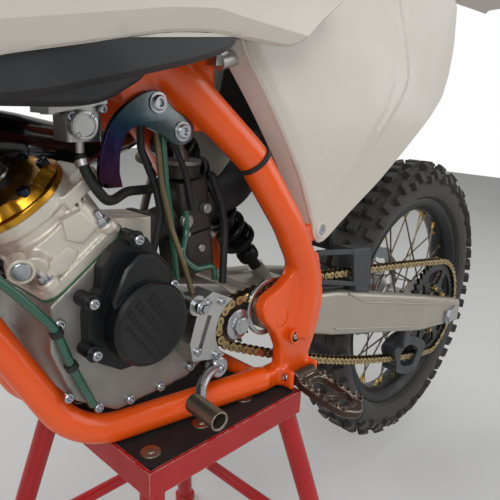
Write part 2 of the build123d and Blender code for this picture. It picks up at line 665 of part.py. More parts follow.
def fuel_tank():
    """Saddle tank over the backbone, hollowed below for the frame."""
    outline = [(604, 456), (620, 436), (760, 388), (838, 376), (868, 430), (846, 560),
               (800, 628), (690, 600), (604, 566)]
    tank = slab(outline, -TANK_HALF, TANK_HALF, 14)
    tunnel = slab([(540, 360), (880, 360), (900, 610), (830, 610), (700, 540), (540, 470)], -36, 36)
    wide = slab([(540, 360), (745, 360), (745, 500), (700, 512), (540, 452)], -100, 100)
    return tank - tunnel - wide


def seat():
    """Long thin seat, a soft wedge from the tank to the rear fender."""
    outline = [(846, 640), (800, 628.4), (690, 600.4), (590, 562), (430, 556), (260, 574), (140, 600),
               (40, 620), (30, 638), (200, 630), (440, 610), (600, 618), (780, 672), (838, 668)]
    return slab(outline, -62, 62, 4)


def shrouds():
    """White radiator shrouds, one each side, from the radiator back to a point."""
    outline = [(842, 405), (773, 419), (709, 435), (626, 437), (551, 436), (475, 490), (560, 585),
               (700, 606), (880, 590), (985, 560), (1010, 470), (985, 372), (930, 372)]
    panel = slab(outline, 152, 157, 5)
    inner = slab([(626, 437), (560, 440), (560, 560), (700, 590), (840, 560), (842, 420)], TANK_HALF, 152, 5)
    return both_sides(panel) + both_sides(inner)


def side_panels():
    """White side panels behind the spars, with the flat fields for numbers."""
    outline = [(429, 212), (376, 241), (302, 280), (239, 320), (170, 366), (126, 403), (112, 475),
               (122, 548), (300, 566), (520, 540), (590, 430), (539, 366), (491, 307), (452, 241)]
    return both_sides(slab(outline, 106, 112, 4))


def rear_fender():
    """White rear fender, swept up behind the seat."""
    side = [(260, 560), (140, 588), (-100, 600), (-REAR_REACH, 596), (-REAR_REACH, 602),
            (-120, 618), (30, 610), (140, 594)]
    plan = [(260, -88), (0, -84), (-250, -60), (-REAR_REACH, -34), (-REAR_REACH, 34),
            (-250, 60), (0, 84), (260, 88)]
    footprint = Pos(0, 0, 500) * extrude(make_face(Polyline(*plan, close=True)), 200)
    return slab(side, -100, 100) & footprint


def subframe():
    """Rear frame loop under the seat."""
    metal = []
    for side in (-1, 1):
        metal.append(rod((600, side * 88, 420), (130, side * 84, 556), 9.0))
        metal.append(rod((442, side * 84, 232), (206, side * 84, 533), 7.7))
    metal.append(rod((150, -84, 550), (150, 84, 550), 8.0))
    metal += [rod((150, y, 550), (150, y, 583.9), 7.0) for y in (-50, 50)]
    eye = [(592, 416), (606, 416), (604, 434), (590, 434)]
    foot = [(448, 222), (450, 240), (432, 246), (430, 226)]
    metal += both_sides(slab(eye, 78.3, 92)) + both_sides(slab(foot, 80, 92))
    return fuse_all(metal)


def radiators():
    """Two radiators either side of the down tube."""
    outline = [(944, 384), (884, 566), (858, 558), (918, 376)]
    return both_sides(slab(outline, 40, 128))


def head_stay():
    """Heat-blued steel stay from the frame's gusset to the cylinder head."""
    outline = [(661, 390), (676, 387), (690, 380), (703, 371), (712, 361), (717, 349), (721, 337),
               (725, 323), (724, 312), (706, 310), (703, 333), (699, 345), (693, 353), (682, 358),
               (670, 355), (656, 349), (642, 340), (626, 340), (615, 349), (619, 361), (637, 371)]
    foot = slab([(697, 301), (714, 301), (716, 322), (704, 328)], 50, 72.3)
    return fuse_all([slab(outline, 66.3, 72.3), foot])


def fuel_tap():
    """Aluminium fuel tap under the tank with its hose to the carburettor."""
    body = Pos(729, 43, 343) * extrude(RectangleRounded(34, 30, 4), 32)
    flange = slab([(708, 376), (764, 367), (764, 373), (708, 382)], 26, 60)
    neck = rod((755, 44, 366), (755, 44, 386.9), 8.0)
    outlet = rod((733, 53, 333), (733, 53, 346), 4.0)
    return fuse_all([body, flange, neck, outlet, disc(734, 358, 57, 65, 13.0)])


def sprocket_cover():
    """Aluminium guard and clutch slave in front of the drive sprocket."""
    outline = [(556, 158), (573, 166), (597, 178), (610, 172), (621, 151), (629, 124), (625, 102),
               (593, 95), (576, 94), (574, 104)]
    ring = disc(DRIVE_X, DRIVE_Z, 50, 90, CHAIN_CLEAR)
    slot = slab([(598, 150), (612, 112), (618, 114), (604, 152)], 80, 90)
    slave = disc(*SLAVE, 58.3, 84, 11.5)
    return fuse_all([slab(outline, 58.3, 86, 3) - ring - slot, slave])


def gear_shaft():
    """End of the gearbox shaft that carries the drive sprocket."""
    return disc(DRIVE_X, DRIVE_Z, 58.3, CHAIN_Y + 10, 11.0)


def black_hoses():
    """Fuel hose from the tap to the carburettor, the throttle cable and two breathers."""
    return [
        tube([(733, 53, 330.9), (731, 58, 317), (722, 60, 300), (708, 54, 287), (694, 45, 285),
              (672, 34, 290), (606.4, 18, 286)], 5.0, [30, 30, 24, 30, 50]),
        tube([(668, 53.6, 378), (660, 42, 334), (641, 42, 292), (636, 44, 262), (648, 44, 220)], 4.0,
             [30, 40, 30]),
        tube([(644, 54.2, 376), (616, 41.2, 334), (600, 41.0, 304), (590, 41.0, 262)], 3.5, [30, 40]),
        tube([(562, 42, 300), (546, 42, 266), (539, 42, 236), (548, 50, 168)], 4.5, [30, 40]),
    ]


def vent_hoses():
    """Clear green vent hoses beside the carburettor, and the overflow hose before the engine."""
    return [
        tube([(642, 54.2, 352), (634, 50, 296), (630, 52, 262), (622, 54, 187.8)], 3.5, [60, 60]),
        tube([(599.5, 40.9, 262), (602, 45, 238), (616, 53, 214), (596, 56, 197), (570, 56, 196),
              (564, 53, 178)], 3.5, [20, 12, 14, 9]),
        tube([(931.2, 70, 379.4), (937, 70, 360), (880, 68, 300), (806, 63.2, 220), (772, 63.2, 178), (757, 63.2, 134),
              (736, 63.2, 84)], 4.5, [14, 60, 60, 50, 60]),
    ]


def clutch_line():
    """Metal-covered clutch line down to the slave cylinder."""
    return tube([(652, 54.4, 372), (642, 52, 300), (634, 58, 252), (628, 72, 214),
                 (SLAVE[0], 74, SLAVE[1] + 12.4)], 3.2, [40, 50, 30])


def chain_guide():
    """Guide under the rear of the swingarm, the block on its top and the slider over the pivot."""
    cheek = [(150, -34), (100, -24), (30, -60), (70, -110), (135, -88)]
    outside = slab(cheek, CHAIN_Y + 10, CHAIN_Y + 13)
    inside = slab(cheek, CHAIN_Y - 13, CHAIN_Y - 10)
    roller = slab([(150, -34), (112, -27), (112, -42), (150, -48)], CHAIN_Y - 13, CHAIN_Y + 13)
    hanger = slab([(118, -1.9), (140, 3.0), (140, -34), (118, -34)], CHAIN_Y + 10, ARM_INNER + 8)
    box = slab([(262, 107), (311, 121), (311, 171), (273, 169)], CHAIN_Y - 14, CHAIN_Y + 15, 3)
    hole = slab([(240, 106), (330, 126), (330, 160), (240, 142)], CHAIN_Y - 9.5, CHAIN_Y + 9.5)
    foot = slab([(266, 100.8), (306, 110.5), (306, 122), (266, 109)], CHAIN_Y + 2, CHAIN_Y + 15)
    slider = slab([(330, 125), (452, 145.6), (500, 151.6), (500, 149.6), (480, 147.9), (452, 142), (330, 121)],
                  CHAIN_Y - 9, CHAIN_Y + 8)
    return [fuse_all([outside, inside, roller, hanger]), fuse_all([box - hole, foot]), slider]


def footpegs():
    """Folding footpegs: an open steel loop with teeth along both edges."""
    outer = [(0, -18), (6, -24), (70, -22), (84, 0), (70, 22), (6, 24), (0, 18)]
    loop = make_face(Polyline(*outer, close=True))
    window = make_face(Polyline((12, -14), (64, -13), (72, 0), (64, 13), (12, 14), close=True))
    peg = extrude(loop - window, 10)
    for side in (-1, 1):
        for k in range(7):
            tooth = make_face(Polyline((6 + 10 * k, 0), (12 + 10 * k, 0), (12 + 10 * k, 6), close=True))
            teeth = Plane(origin=(0, side * 20 - 2, 10), x_dir=(1, 0, 0), z_dir=(0, -1, 0)) * tooth
            peg += extrude(teeth, amount=4, dir=(0, 1, 0))
    boss = Pos(-6, 0, 5) * Rot(90, 0, 0) * extrude(Circle(9), 19, both=True)
    peg += boss
    left = Pos(PEG_X, 125, PEG_Z - 2) * Rot(0, 0, 90) * Rot(0, -PEG_LIFT, 0) * peg
    return both_sides(left)


def gear_lever():
    """Gear lever with its knurled hollow toe piece."""
    arm = tube([(588, 86, 84), (612, 95, 87), (630, 107, 82), (646, 122, 73)], 6.5, [12, 14])
    toe = rod((646, 112, 72), (650, 158, 72), 10.5) - rod((647.6, 130, 72), (650, 160, 72), 8.0)
    shaft = disc(588, 84, 58.0, 92, 8)
    return fuse_all([arm, shaft, toe])


def kick_starter():
    """Kick starter folded against the right side of the engine."""
    arm = tube([(560, -114, 150), (540, -118, 230), (516, -124, 292)], 7.0, [60])
    return fuse_all([arm, disc(560, 150, -121, -104.3, 16), rod((516, -116, 292), (516, -164, 298), 8.0)])


def brake_pedal():
    """Rear brake pedal and its stepped tip on the right."""
    arm = tube([(505, -112, 67), (600, -118, 54), (672, -132, 78)], 6.0, [40])
    return fuse_all([arm, rod((505, -106.3, 67), (505, -122, 67), 11.0),
                     Pos(680, -132, 80) * Box(26, 34, 8)])


def rear_caliper():
    """Rear brake caliper over the disc, on a bracket from the axle."""
    body = slab([(52, 40), (96, 48), (104, 84), (62, 88), (44, 66)], -76, -46, 5)
    slot = disc(0, 0, REAR_DISC_Y - 4, REAR_DISC_Y + 4, REAR_DISC_RADIUS + 5)
    bracket = slab([(-14, -16), (14, -16), (66, 36), (84, 66), (62, 72), (-10, 18)], -86, -77)
    bracket -= disc(0, 0, -90, -70, 15.0 + FIT)
    tie = slab([(62, 66), (84, 60), (86, 74), (64, 78)], -78, -75)
    return fuse_all([body - slot, bracket, tie])


def fork_tubes():
    """Upper tubes of the upside-down fork."""
    return both_sides(rod(steer(FORK_OUTER_LOW, CLAMP_OFFSET, FORK_SPREAD),
                          steer(FORK_TOP, CLAMP_OFFSET, FORK_SPREAD), FORK_OUTER_RADIUS))


def fork_legs():
    """Lower chrome legs with the cast lugs that hold the front axle."""
    leg = rod(steer(20, CLAMP_OFFSET, FORK_SPREAD), steer(FORK_OUTER_LOW - FIT, CLAMP_OFFSET, FORK_SPREAD),
              FORK_INNER_RADIUS)
    plane = Plane(origin=steer(0, 0, FORK_SPREAD - 17), x_dir=AXIS_AHEAD, z_dir=(0, -1, 0))
    lug_face = make_face(Polyline((-8, 58), (-8, -14), (28, -22), (62, -20), (62, 20), (36, 58),
                                  close=True))
    lug = extrude(plane * lug_face, 34, dir=(0, 1, 0))
    lug -= disc(FRONT_AXLE.X, FRONT_AXLE.Z, 40, 130, AXLE_RADIUS + FIT)
    return both_sides(fuse_all([leg, lug]))


def front_axle():
    """Front axle with its spacers and nut."""
    inner = FORK_SPREAD - 17
    x, z = FRONT_AXLE.X, FRONT_AXLE.Z
    return fuse_all([disc(x, z, -108, 108, AXLE_RADIUS),
                     disc(x, z, FRONT_DISC_Y - DISC_THICKNESS / 2 + 0.5, inner - FIT, 14.0),
                     disc(x, z, -inner + FIT, -FRONT_HUB_HALF - 0.5, 14.0),
                     disc(x, z, FORK_SPREAD + 17.3, 112, 15.0, 0, 6)])


def triple_clamps():
    """Upper and lower fork clamps and the stem through the steering head."""
    metal = [rod(steer(CLAMP_LOW - 10), steer(CLAMP_HIGH + 14), 14.0)]
    for height in (HEAD_LOW + 1, HEAD_HIGH - 15):
        metal.append(rod(steer(height), steer(height + 14), HEAD_BORE - BEARING))
    for height in (CLAMP_LOW, CLAMP_HIGH):
        plane = Plane(origin=steer(height - CLAMP_THICKNESS / 2), x_dir=AXIS_AHEAD, z_dir=AXIS_UP)
        outline = [(-24, -24), (-24, 24), (-16, 60), (-18, 118), (42, 118), (44, 60), (40, 0),
                   (44, -60), (42, -118), (-18, -118), (-16, -60)]
        plate = extrude(plane * make_face(Polyline(*outline, close=True)), CLAMP_THICKNESS)
        for side in (-1, 1):
            plate -= rod(steer(height - 30, CLAMP_OFFSET, side * FORK_SPREAD),
                         steer(height + 30, CLAMP_OFFSET, side * FORK_SPREAD), FORK_OUTER_RADIUS + FIT)
        metal.append(plate)
    return fuse_all(metal)


def bar_point(left, up, back):
    """A point of the handlebar from its middle."""
    return steer(BAR_HEIGHT + up, 12 - back, left)


def handlebar():
    """Handlebar of steel tube with its cross brace and the two clamps below."""
    end = [(BAR_MIDDLE, 0, 0), (70, 0, 0), (160, 60, 12), (BAR_HALF - GRIP_ROOM, 66, 24), (BAR_HALF, 78, 62)]
    half = tube([bar_point(*p) for p in end], BAR_RADIUS, [45, 30, 60])
    middle = rod(bar_point(-BAR_MIDDLE, 0, 0), bar_point(BAR_MIDDLE, 0, 0), BAR_RADIUS)
    brace = rod(bar_point(-126, 38, 8), bar_point(126, 38, 8), 6.0)
    metal = [middle, brace] + both_sides(half)
    for side in (-1, 1):
        inner, outer = CLAMP_RING
        metal.append(rod(bar_point(side * inner, 0, 0), bar_point(side * outer, 0, 0), 17.0))
        metal.append(rod(steer(CLAMP_HIGH + CLAMP_THICKNESS / 2 + FIT, 12, side * (inner + outer) / 2),
                         bar_point(side * (inner + outer) / 2, 0, 0), 14.0))
    return fuse_all(metal)


def grips():
    """Rubber grips on the bar ends."""
    root, tip = Vector(*bar_point(BAR_HALF - GRIP_ROOM, 66, 24)), Vector(*bar_point(BAR_HALF, 78, 62))
    way = (tip - root).normalized()
    start = tip - way * 118
    grip = rod(start, tip, 16.0) - rod(start - way, tip + way * 2, BAR_RADIUS + FIT)
    flange = rod(start - way * 6, start, 26.0) - rod(start - way * 8, start + way, BAR_RADIUS + FIT)
    return both_sides(fuse_all([grip, flange]))


def control_levers():
    """Clutch and front brake levers with their master cylinders."""
    root, tip = Vector(*bar_point(BAR_HALF - GRIP_ROOM, 66, 24)), Vector(*bar_point(BAR_HALF, 78, 62))
    way = (tip - root).normalized()
    seat_point = root + way * 16
    ring = rod(seat_point - way * 10, seat_point + way * 10, 19.0)
    ring -= rod(seat_point - way * 12, seat_point + way * 12, BAR_RADIUS + FIT)
    body = rod(seat_point + AXIS_AHEAD * 26 - way * 34, seat_point + AXIS_AHEAD * 26 + way * 14, 12.0)
    lever = tube([seat_point + AXIS_AHEAD * 30 + way * 10, seat_point + AXIS_AHEAD * 62 + way * 50,
                  seat_point + AXIS_AHEAD * 52 + way * 130], 5.0, [30])
    return both_sides(fuse_all([ring, body, lever]))


def front_fender():
    """White front fender under the lower clamp, reaching over the wheel."""
    side = [(984, 488), (1010, 512), (1080, 520), (1250, 486), (1420, 420), (1560, 356),
            (1560, 350), (1420, 408), (1250, 474), (1080, 506), (1012, 500), (996, 484)]
    lifted = [(x + (FRONT_REACH + WHEELBASE - 1560) * max(0, (x - 1010) / 550), z) for x, z in side]
    plan = [(980, -40), (1060, -62), (1400, -66), (FRONT_REACH + WHEELBASE, -30),
            (FRONT_REACH + WHEELBASE, 30), (1400, 66), (1060, 62), (980, 40)]
    footprint = Pos(0, 0, 300) * extrude(make_face(Polyline(*plan, close=True)), 300)
    lugs = [rod(steer(549, 20, y), steer(CLAMP_LOW - CLAMP_THICKNESS / 2, 20, y), 8.0) for y in (-25, 25)]
    return fuse_all([slab(lifted, -80, 80) & footprint] + lugs)


def number_plate():
    """Blank front number plate ahead of the clamps."""
    plane = Plane(origin=steer(700, 60), x_dir=(0, 1, 0), z_dir=AXIS_AHEAD)
    outline = [(-62, -80), (-84, 40), (-60, 96), (60, 96), (84, 40), (62, -80), (30, -104), (-30, -104)]
    plate = extrude(plane * fillet(make_face(Polyline(*outline, close=True)).vertices(), 14), 4)
    lugs = [rod(steer(height, 40.5), steer(height, 61), 5.0) for height in (CLAMP_LOW + 10, CLAMP_HIGH - 10)]
    return fuse_all([plate] + lugs)


def fork_guards():
    """White guards in front of the lower fork legs."""
    guard = rod(steer(58, CLAMP_OFFSET, FORK_SPREAD), steer(285, CLAMP_OFFSET, FORK_SPREAD), 31.0)
    guard -= rod(steer(20, CLAMP_OFFSET, FORK_SPREAD), steer(295, CLAMP_OFFSET, FORK_SPREAD), 28.0)
    plane = Plane(origin=steer(0, CLAMP_OFFSET + 6, 0), x_dir=(0, 1, 0), z_dir=AXIS_AHEAD)
    inner = FRONT_DISC_Y + DISC_THICKNESS / 2 + RUN
    front = extrude(plane * (Pos(inner + 100, 200) * Rectangle(200, 900)), 60)
    return both_sides(guard & front)


def front_caliper():
    """Front brake caliper behind the left leg."""
    x, z = FRONT_AXLE.X, FRONT_AXLE.Z
    body = slab([(x - 112, z - 14), (x - 72, z - 20), (x - 62, z + 44), (x - 92, z + 58), (x - 118, z + 34)],
                38, 68, 6)
    slot = disc(x, z, FRONT_DISC_Y - 4, FRONT_DISC_Y + 4, FRONT_DISC_RADIUS + 6)
    return body - slot


def stand_frame():
    """Paddock stand: an angle-iron top on four splayed tube legs with braces."""
    back, front = STAND_FRONT - STAND_LENGTH, STAND_FRONT
    middle, half = (back + front) / 2, STAND_WIDTH / 2
    top = Pos(middle, STAND_Y, STAND_TOP) * (
        Box(STAND_LENGTH, STAND_WIDTH, STAND_SKIRT, align=(Align.CENTER, Align.CENTER, Align.MAX))
        - Box(STAND_LENGTH - 8, STAND_WIDTH - 8, 2 * MAT_THICKNESS)
        - Pos(0, 0, -MAT_THICKNESS - 4) * Box(STAND_LENGTH - 8, STAND_WIDTH - 8, 80,
                                              align=(Align.CENTER, Align.CENTER, Align.MAX)))
    metal = [top]
    floor = -REAR_AXLE_HEIGHT
    feet = {}
    for sx in (-1, 1):
        for sy in (-1, 1):
            head = (middle + sx * (STAND_LENGTH / 2 - 18), STAND_Y + sy * (half - 18),
                    STAND_TOP - MAT_THICKNESS - 8)
            foot = (middle + sx * (STAND_LENGTH / 2 + STAND_SPLAY), STAND_Y + sy * (half + STAND_SPLAY),
                    floor + 4)
            feet[sx, sy] = (Vector(*head), Vector(*foot))
            metal.append(rod(head, foot, STAND_TUBE))
            metal.append(Pos(foot[0], foot[1], floor) * Cylinder(
                STAND_TUBE + 5, 8, align=(Align.CENTER, Align.CENTER, Align.MIN)))
    for one, two in (((-1, -1), (-1, 1)), ((1, -1), (1, 1)), ((-1, -1), (1, -1)), ((-1, 1), (1, 1))):
        a = feet[one][0] + (feet[one][1] - feet[one][0]) * 0.62
        b = feet[two][0] + (feet[two][1] - feet[two][0]) * 0.62
        metal.append(rod(a, b, 9.0))
    return fuse_all(metal)


def stand_mat():
    """Rubber mat on the stand's top."""
    middle = STAND_FRONT - STAND_LENGTH / 2
    sheet = RectangleRounded(STAND_LENGTH - 8 - 2 * FIT, STAND_WIDTH - 8 - 2 * FIT, 12)
    return Pos(middle, STAND_Y, STAND_TOP - MAT_THICKNESS) * extrude(sheet, MAT_THICKNESS)


def all_nodes():
    """Every sub-part by name."""
    nodes = {
        "main_frame": main_frame(), "subframe": subframe(), "pivot_bolt": pivot_bolt(),
        "swingarm": swingarm(), "rear_axle": rear_axle(), "rear_shock": rear_shock(),
        "crankcase": engine_case(), "ignition_cover": ignition_cover(),
        "clutch_cover": clutch_cover(), "cylinder": cylinder(), "cylinder_head": cylinder_head(),
        "carburettor": carburettor(), "airbox": airbox(), "exhaust_pipe": exhaust_pipe(),
        "silencer": silencer(), "fuel_tank": fuel_tank(), "seat": seat(), "shrouds": shrouds(),
        "side_panels": side_panels(), "rear_fender": rear_fender(), "radiators": radiators(),
        "head_stay": head_stay(), "fuel_tap": fuel_tap(), "sprocket_cover": sprocket_cover(),
        "drive_sprocket": fuse_all([sprocket(FRONT_TEETH, DRIVE_X, DRIVE_Z, 8.0, 0), gear_shaft()]),
        "black_hoses": black_hoses(), "vent_hoses": vent_hoses(), "clutch_line": clutch_line(),
        "chain": chain(), "chain_guide": chain_guide(), "footpegs": footpegs(),
        "gear_lever": gear_lever(), "kick_starter": kick_starter(), "brake_pedal": brake_pedal(),
        "rear_caliper": rear_caliper(), "stand_frame": stand_frame(), "stand_mat": stand_mat(),
        "fork_tubes": fork_tubes(), "fork_legs": fork_legs(), "front_axle": front_axle(),
        "triple_clamps": triple_clamps(), "handlebar": handlebar(), "grips": grips(),
        "control_levers": control_levers(), "front_fender": front_fender(),
        "number_plate": number_plate(), "fork_guards": fork_guards(), "front_caliper": front_caliper(),
    }
    nodes.update(rear_wheel())
    nodes.update(front_wheel())
    return nodes


def main():
    for name, shape in all_nodes().items():
        solids = shape if isinstance(shape, list) else [shape]
        placed = Compound(children=[Pos(*SHIFT) * s for solid in solids for s in solid.solids()])
        export_step(placed, f"parts/{name}.step")


main()
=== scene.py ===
# %% [markdown]
# # A mini motocross bike on its paddock stand
#
# The real object is a small two-stroke off-road motorcycle that hangs with both wheels free
# on a red steel stand. Frame, engine, wheels and stand come from CAD with their true sizes.
# This lesson dresses them: the formed surfaces, the fasteners and lines, and the finishes.

# %% The frame from CAD
import bmesh
import bpy
import math
import numpy as np
from mathutils import Matrix, Vector
from mathutils.geometry import delaunay_2d_cdt


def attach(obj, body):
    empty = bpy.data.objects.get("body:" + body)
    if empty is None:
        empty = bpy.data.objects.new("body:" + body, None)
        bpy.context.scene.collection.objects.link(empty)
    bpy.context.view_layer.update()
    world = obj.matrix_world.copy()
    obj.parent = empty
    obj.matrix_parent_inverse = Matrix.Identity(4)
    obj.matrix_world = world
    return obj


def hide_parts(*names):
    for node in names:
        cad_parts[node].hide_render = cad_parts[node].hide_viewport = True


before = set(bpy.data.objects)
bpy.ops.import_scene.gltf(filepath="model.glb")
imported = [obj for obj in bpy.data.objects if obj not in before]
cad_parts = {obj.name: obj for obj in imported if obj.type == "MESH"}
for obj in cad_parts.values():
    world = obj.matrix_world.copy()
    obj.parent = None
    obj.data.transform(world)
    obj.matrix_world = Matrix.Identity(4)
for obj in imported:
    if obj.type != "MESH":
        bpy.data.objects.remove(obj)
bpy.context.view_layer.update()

# %% [markdown]
# ## Where things are
#
# The CAD was drawn from the rear axle, in millimetres, as a motorcycle is measured. One
# function turns such a measure into Blender's metres in the shared frame, so that a piece can
# be placed with the same numbers that a workshop drawing would give.

# %% Bike coordinates
MM = 0.001
REAR_AXLE = np.array([-665.0, 0.0, 355.0])       # in the shared frame, millimetres


def at(x, y, z):
    """A point measured from the rear axle in mm, as shared metres: (p + axle) / 1000."""
    return (np.array([x, y, z], dtype=float) + REAR_AXLE) * MM


print("front axle at", at(1290, 0, 20))

# %% [markdown]
# ## The camera
#
# The photographer stood close by the left side with a phone, looked forward and down a little
# and held it almost level. A short lens that near makes the rear wheel small and the engine
# large, so the place matters more than the angle. Both were worked out from known sizes: the
# chain's pitch, the rims and the wheelbase.

# %% Camera
EYE = at(985.9, 503.8, 386.9)
YAW, PITCH, ROLL = 0.818, 0.272, 0.043           # radians
FOCAL_PIXELS, PICTURE_PIXELS, SENSOR = 545.16, 500, 36.0

look = np.array([-math.sin(YAW) * math.cos(PITCH), -math.cos(YAW) * math.cos(PITCH), -math.sin(PITCH)])
level = np.array([-math.cos(YAW), math.sin(YAW), 0.0])
upright = np.cross(level, look)
right = math.cos(ROLL) * level + math.sin(ROLL) * upright
up = -math.sin(ROLL) * level + math.cos(ROLL) * upright

camera = bpy.data.objects.new("camera", bpy.data.cameras.new("camera"))
bpy.context.collection.objects.link(camera)
camera.data.sensor_width = SENSOR
camera.data.lens = SENSOR * FOCAL_PIXELS / PICTURE_PIXELS
camera.data.clip_start = 0.01
camera.matrix_world = Matrix([[right[i], up[i], -look[i], EYE[i]] for i in range(3)] + [[0, 0, 0, 1]])
bpy.context.scene.camera = camera
bpy.context.scene.view_settings.view_transform = "Standard"
print("lens", round(camera.data.lens, 2), "mm")

# %% [markdown]
# ## Materials: the two helpers
#
# Every finish is a small graph of nodes. One helper adds a node with its settings and links,
# and one turns a colour as a paint card gives it (sRGB hex) into the linear light values that
# a renderer adds up. Patterns are sized in real millimetres: a Blender texture of scale s
# repeats about every 1 / s metres.

# %% Colour and node helpers
def linear(code):
    """sRGB hex to linear RGBA: c / 12.92 up to 0.04045, else ((c + 0.055) / 1.055) ** 2.4."""
    shares = [int(code[i:i + 2], 16) / 255 for i in (1, 3, 5)]
    return tuple(c / 12.92 if c <= 0.04045 else ((c + 0.055) / 1.055) ** 2.4 for c in shares) + (1.0,)


def add(tree, kind, inputs=None, **settings):
    """One shader node. settings are its properties; inputs maps a socket's name or number to
    a value, or to a (node, output) pair that it is linked from."""
    made = tree.nodes.new("ShaderNode" + kind)
    for name, value in settings.items():
        setattr(made, name, value)
    for name, value in (inputs or {}).items():
        if isinstance(value, tuple) and len(value) == 2 and isinstance(value[0], bpy.types.Node):
            tree.links.new(value[0].outputs[value[1]], made.inputs[name])
        else:
            made.inputs[name].default_value = value
    return made


def per_mm(size):
    """Texture scale for a pattern whose features are size millimetres apart."""
    return 1000.0 / size


finishes = {}
print("blue steel is", [round(c, 3) for c in linear("#4a6fa5")])

# %% [markdown]
# ## The plain finish that most parts share
#
# Paint, moulded plastic, cast metal and rubber differ in few things: the base colour and how
# much it varies from place to place, how rough it is, and a fine relief. One recipe covers
# them. A slow noise mixes two close colours and moves the roughness, and a fine noise or cell
# pattern gives the relief, whose height is in millimetres.

# %% A finish with colour variation and fine relief
def finish(name, colour, second, roughness, spread=60.0, grain=0.8, relief=0.02, metallic=0.0,
           rough_spread=0.08, coat=0.0, cells=False, sheen=0.0, rubbed=None):
    """A Principled material. Its colour runs from colour to second with a noise of spread mm.
    Its roughness moves by rough_spread with the same noise, and a noise (or cells) of grain mm
    lifts the surface by relief mm. rubbed is the colour of corners worn through: a corner is
    where the rounded normal b leaves the face's normal n, so that b . n falls below one."""
    material = bpy.data.materials.new(name)
    material.use_nodes = True
    tree = material.node_tree
    tree.nodes.clear()
    place = add(tree, "TexCoord")
    slow = add(tree, "TexNoise", {"Vector": (place, "Object"), "Scale": per_mm(spread), "Detail": 4.0})
    tint = add(tree, "Mix", {0: (slow, 0), 6: linear(colour), 7: linear(second)}, data_type="RGBA")
    rough = add(tree, "MapRange", {"Value": (slow, 0), "From Min": 0.3, "From Max": 0.7,
                                   "To Min": roughness - rough_spread, "To Max": roughness + rough_spread})
    kind = "TexVoronoi" if cells else "TexNoise"
    fine = add(tree, kind, {"Vector": (place, "Object"), "Scale": per_mm(grain)})
    edge = add(tree, "Bevel", {"Radius": 0.9 * MM}, samples=4)
    bump = add(tree, "Bump", {"Height": (fine, 0), "Distance": relief * MM, "Strength": 1.0, "Normal": (edge, 0)})
    if rubbed:
        wide = add(tree, "Bevel", {"Radius": 1.6 * MM}, samples=4)
        flat = add(tree, "NewGeometry")
        agree = add(tree, "VectorMath", {0: (wide, 0), 1: (flat, "Normal")}, operation="DOT_PRODUCT")
        corner = add(tree, "MapRange", {"Value": (agree, "Value"), "From Min": 0.985, "From Max": 0.93})
        patches = add(tree, "TexNoise", {"Vector": (place, "Object"), "Scale": per_mm(9.0), "Detail": 5.0})
        torn = add(tree, "MapRange", {"Value": (patches, 0), "From Min": 0.42, "From Max": 0.58})
        share = add(tree, "Math", {0: (corner, 0), 1: (torn, 0)}, operation="MULTIPLY")
        tint = add(tree, "Mix", {0: (share, 0), 6: (tint, 2), 7: linear(rubbed)}, data_type="RGBA")
    shader = add(tree, "BsdfPrincipled", {"Base Color": (tint, 2), "Roughness": (rough, 0),
                                          "Metallic": metallic, "Normal": (bump, 0),
                                          "Coat Weight": coat, "Sheen Weight": sheen})
    add(tree, "OutputMaterial", {"Surface": (shader, 0)})
    finishes[name] = material
    return material


# Powder coat: a thick satin polyester skin, baked on, with a faint orange-peel relief
finish("powder_coat_orange", "#f25a06", "#e65006", 0.34, spread=90, grain=2.2, relief=0.03, coat=0.3)
# Stand enamel: brushed on and knocked about in a garage
finish("stand_enamel_red", "#b51219", "#9c0f15", 0.42, spread=50, grain=1.5, relief=0.04, rubbed="#c9a79c")
# Injection moulded polypropylene, warm white, with a soft gloss
finish("white_polypropylene", "#d2cbc2", "#cbc3b9", 0.30, spread=120, grain=1.2, relief=0.008, coat=0.15)
# Black moulded plastic with the spark-eroded grain of the tool
finish("black_plastic", "#141517", "#1c1d20", 0.55, spread=60, grain=0.9, relief=0.03)
# Chain guide: glass-filled nylon, rubbed grey by the chain's dust
finish("guide_grey", "#2c2e31", "#3a3c3f", 0.50, spread=30, grain=0.9, relief=0.03)
# Carburettor body: die cast, browned by fuel
finish("dark_cast", "#4d4a45", "#3a3733", 0.48, spread=14, grain=0.8, relief=0.04, metallic=0.7)
# Tank: thick dark polyethylene
finish("tank_polyethylene", "#1f2125", "#292b2f", 0.42, spread=80, grain=1.5, relief=0.02)
# Die cast aluminium as it leaves the mould, vapour blasted to an even grain
finish("cast_aluminium", "#a5a39e", "#8f8d88", 0.50, spread=25, grain=0.7, relief=0.05, metallic=0.85)
# Milled and tumbled aluminium
finish("bare_aluminium", "#c2c2c0", "#b2b2b0", 0.36, spread=30, grain=0.6, relief=0.01, metallic=1.0)
# Zinc plated steel of fasteners
finish("plated_steel", "#b8bbbf", "#9fa2a7", 0.28, spread=12, grain=0.8, relief=0.01, metallic=1.0)
# Stainless brake discs, ground flat
finish("ground_steel", "#aeb0b3", "#9b9da0", 0.34, spread=20, grain=0.5, relief=0.01, metallic=1.0)
# Worn cast steel with brown mill scale
finish("worn_steel", "#6d625a", "#4d443f", 0.48, spread=9, grain=1.0, relief=0.12, metallic=0.8)
# Investment cast steel, browned, with its edges rubbed bright by boots
finish("worn_cast", "#5b4a40", "#3c332d", 0.46, spread=7, grain=0.9, relief=0.10, metallic=0.75, rubbed="#d8d2c8")
# Knurled sleeve of the gear lever, nickel worn to a grey brown
finish("knurled_nickel", "#988b7d", "#7a6e62", 0.38, spread=6, grain=0.8, relief=0.03, metallic=0.9, rubbed="#c9c1b6")
# Nickel plated washers, dulled
finish("worn_nickel", "#b7aa98", "#93877a", 0.36, spread=5, grain=0.8, relief=0.02, metallic=1.0)
# Gold anodised aluminium
finish("gold_anodised", "#cf9a35", "#bb8627", 0.30, spread=30, grain=0.5, relief=0.01, metallic=1.0)
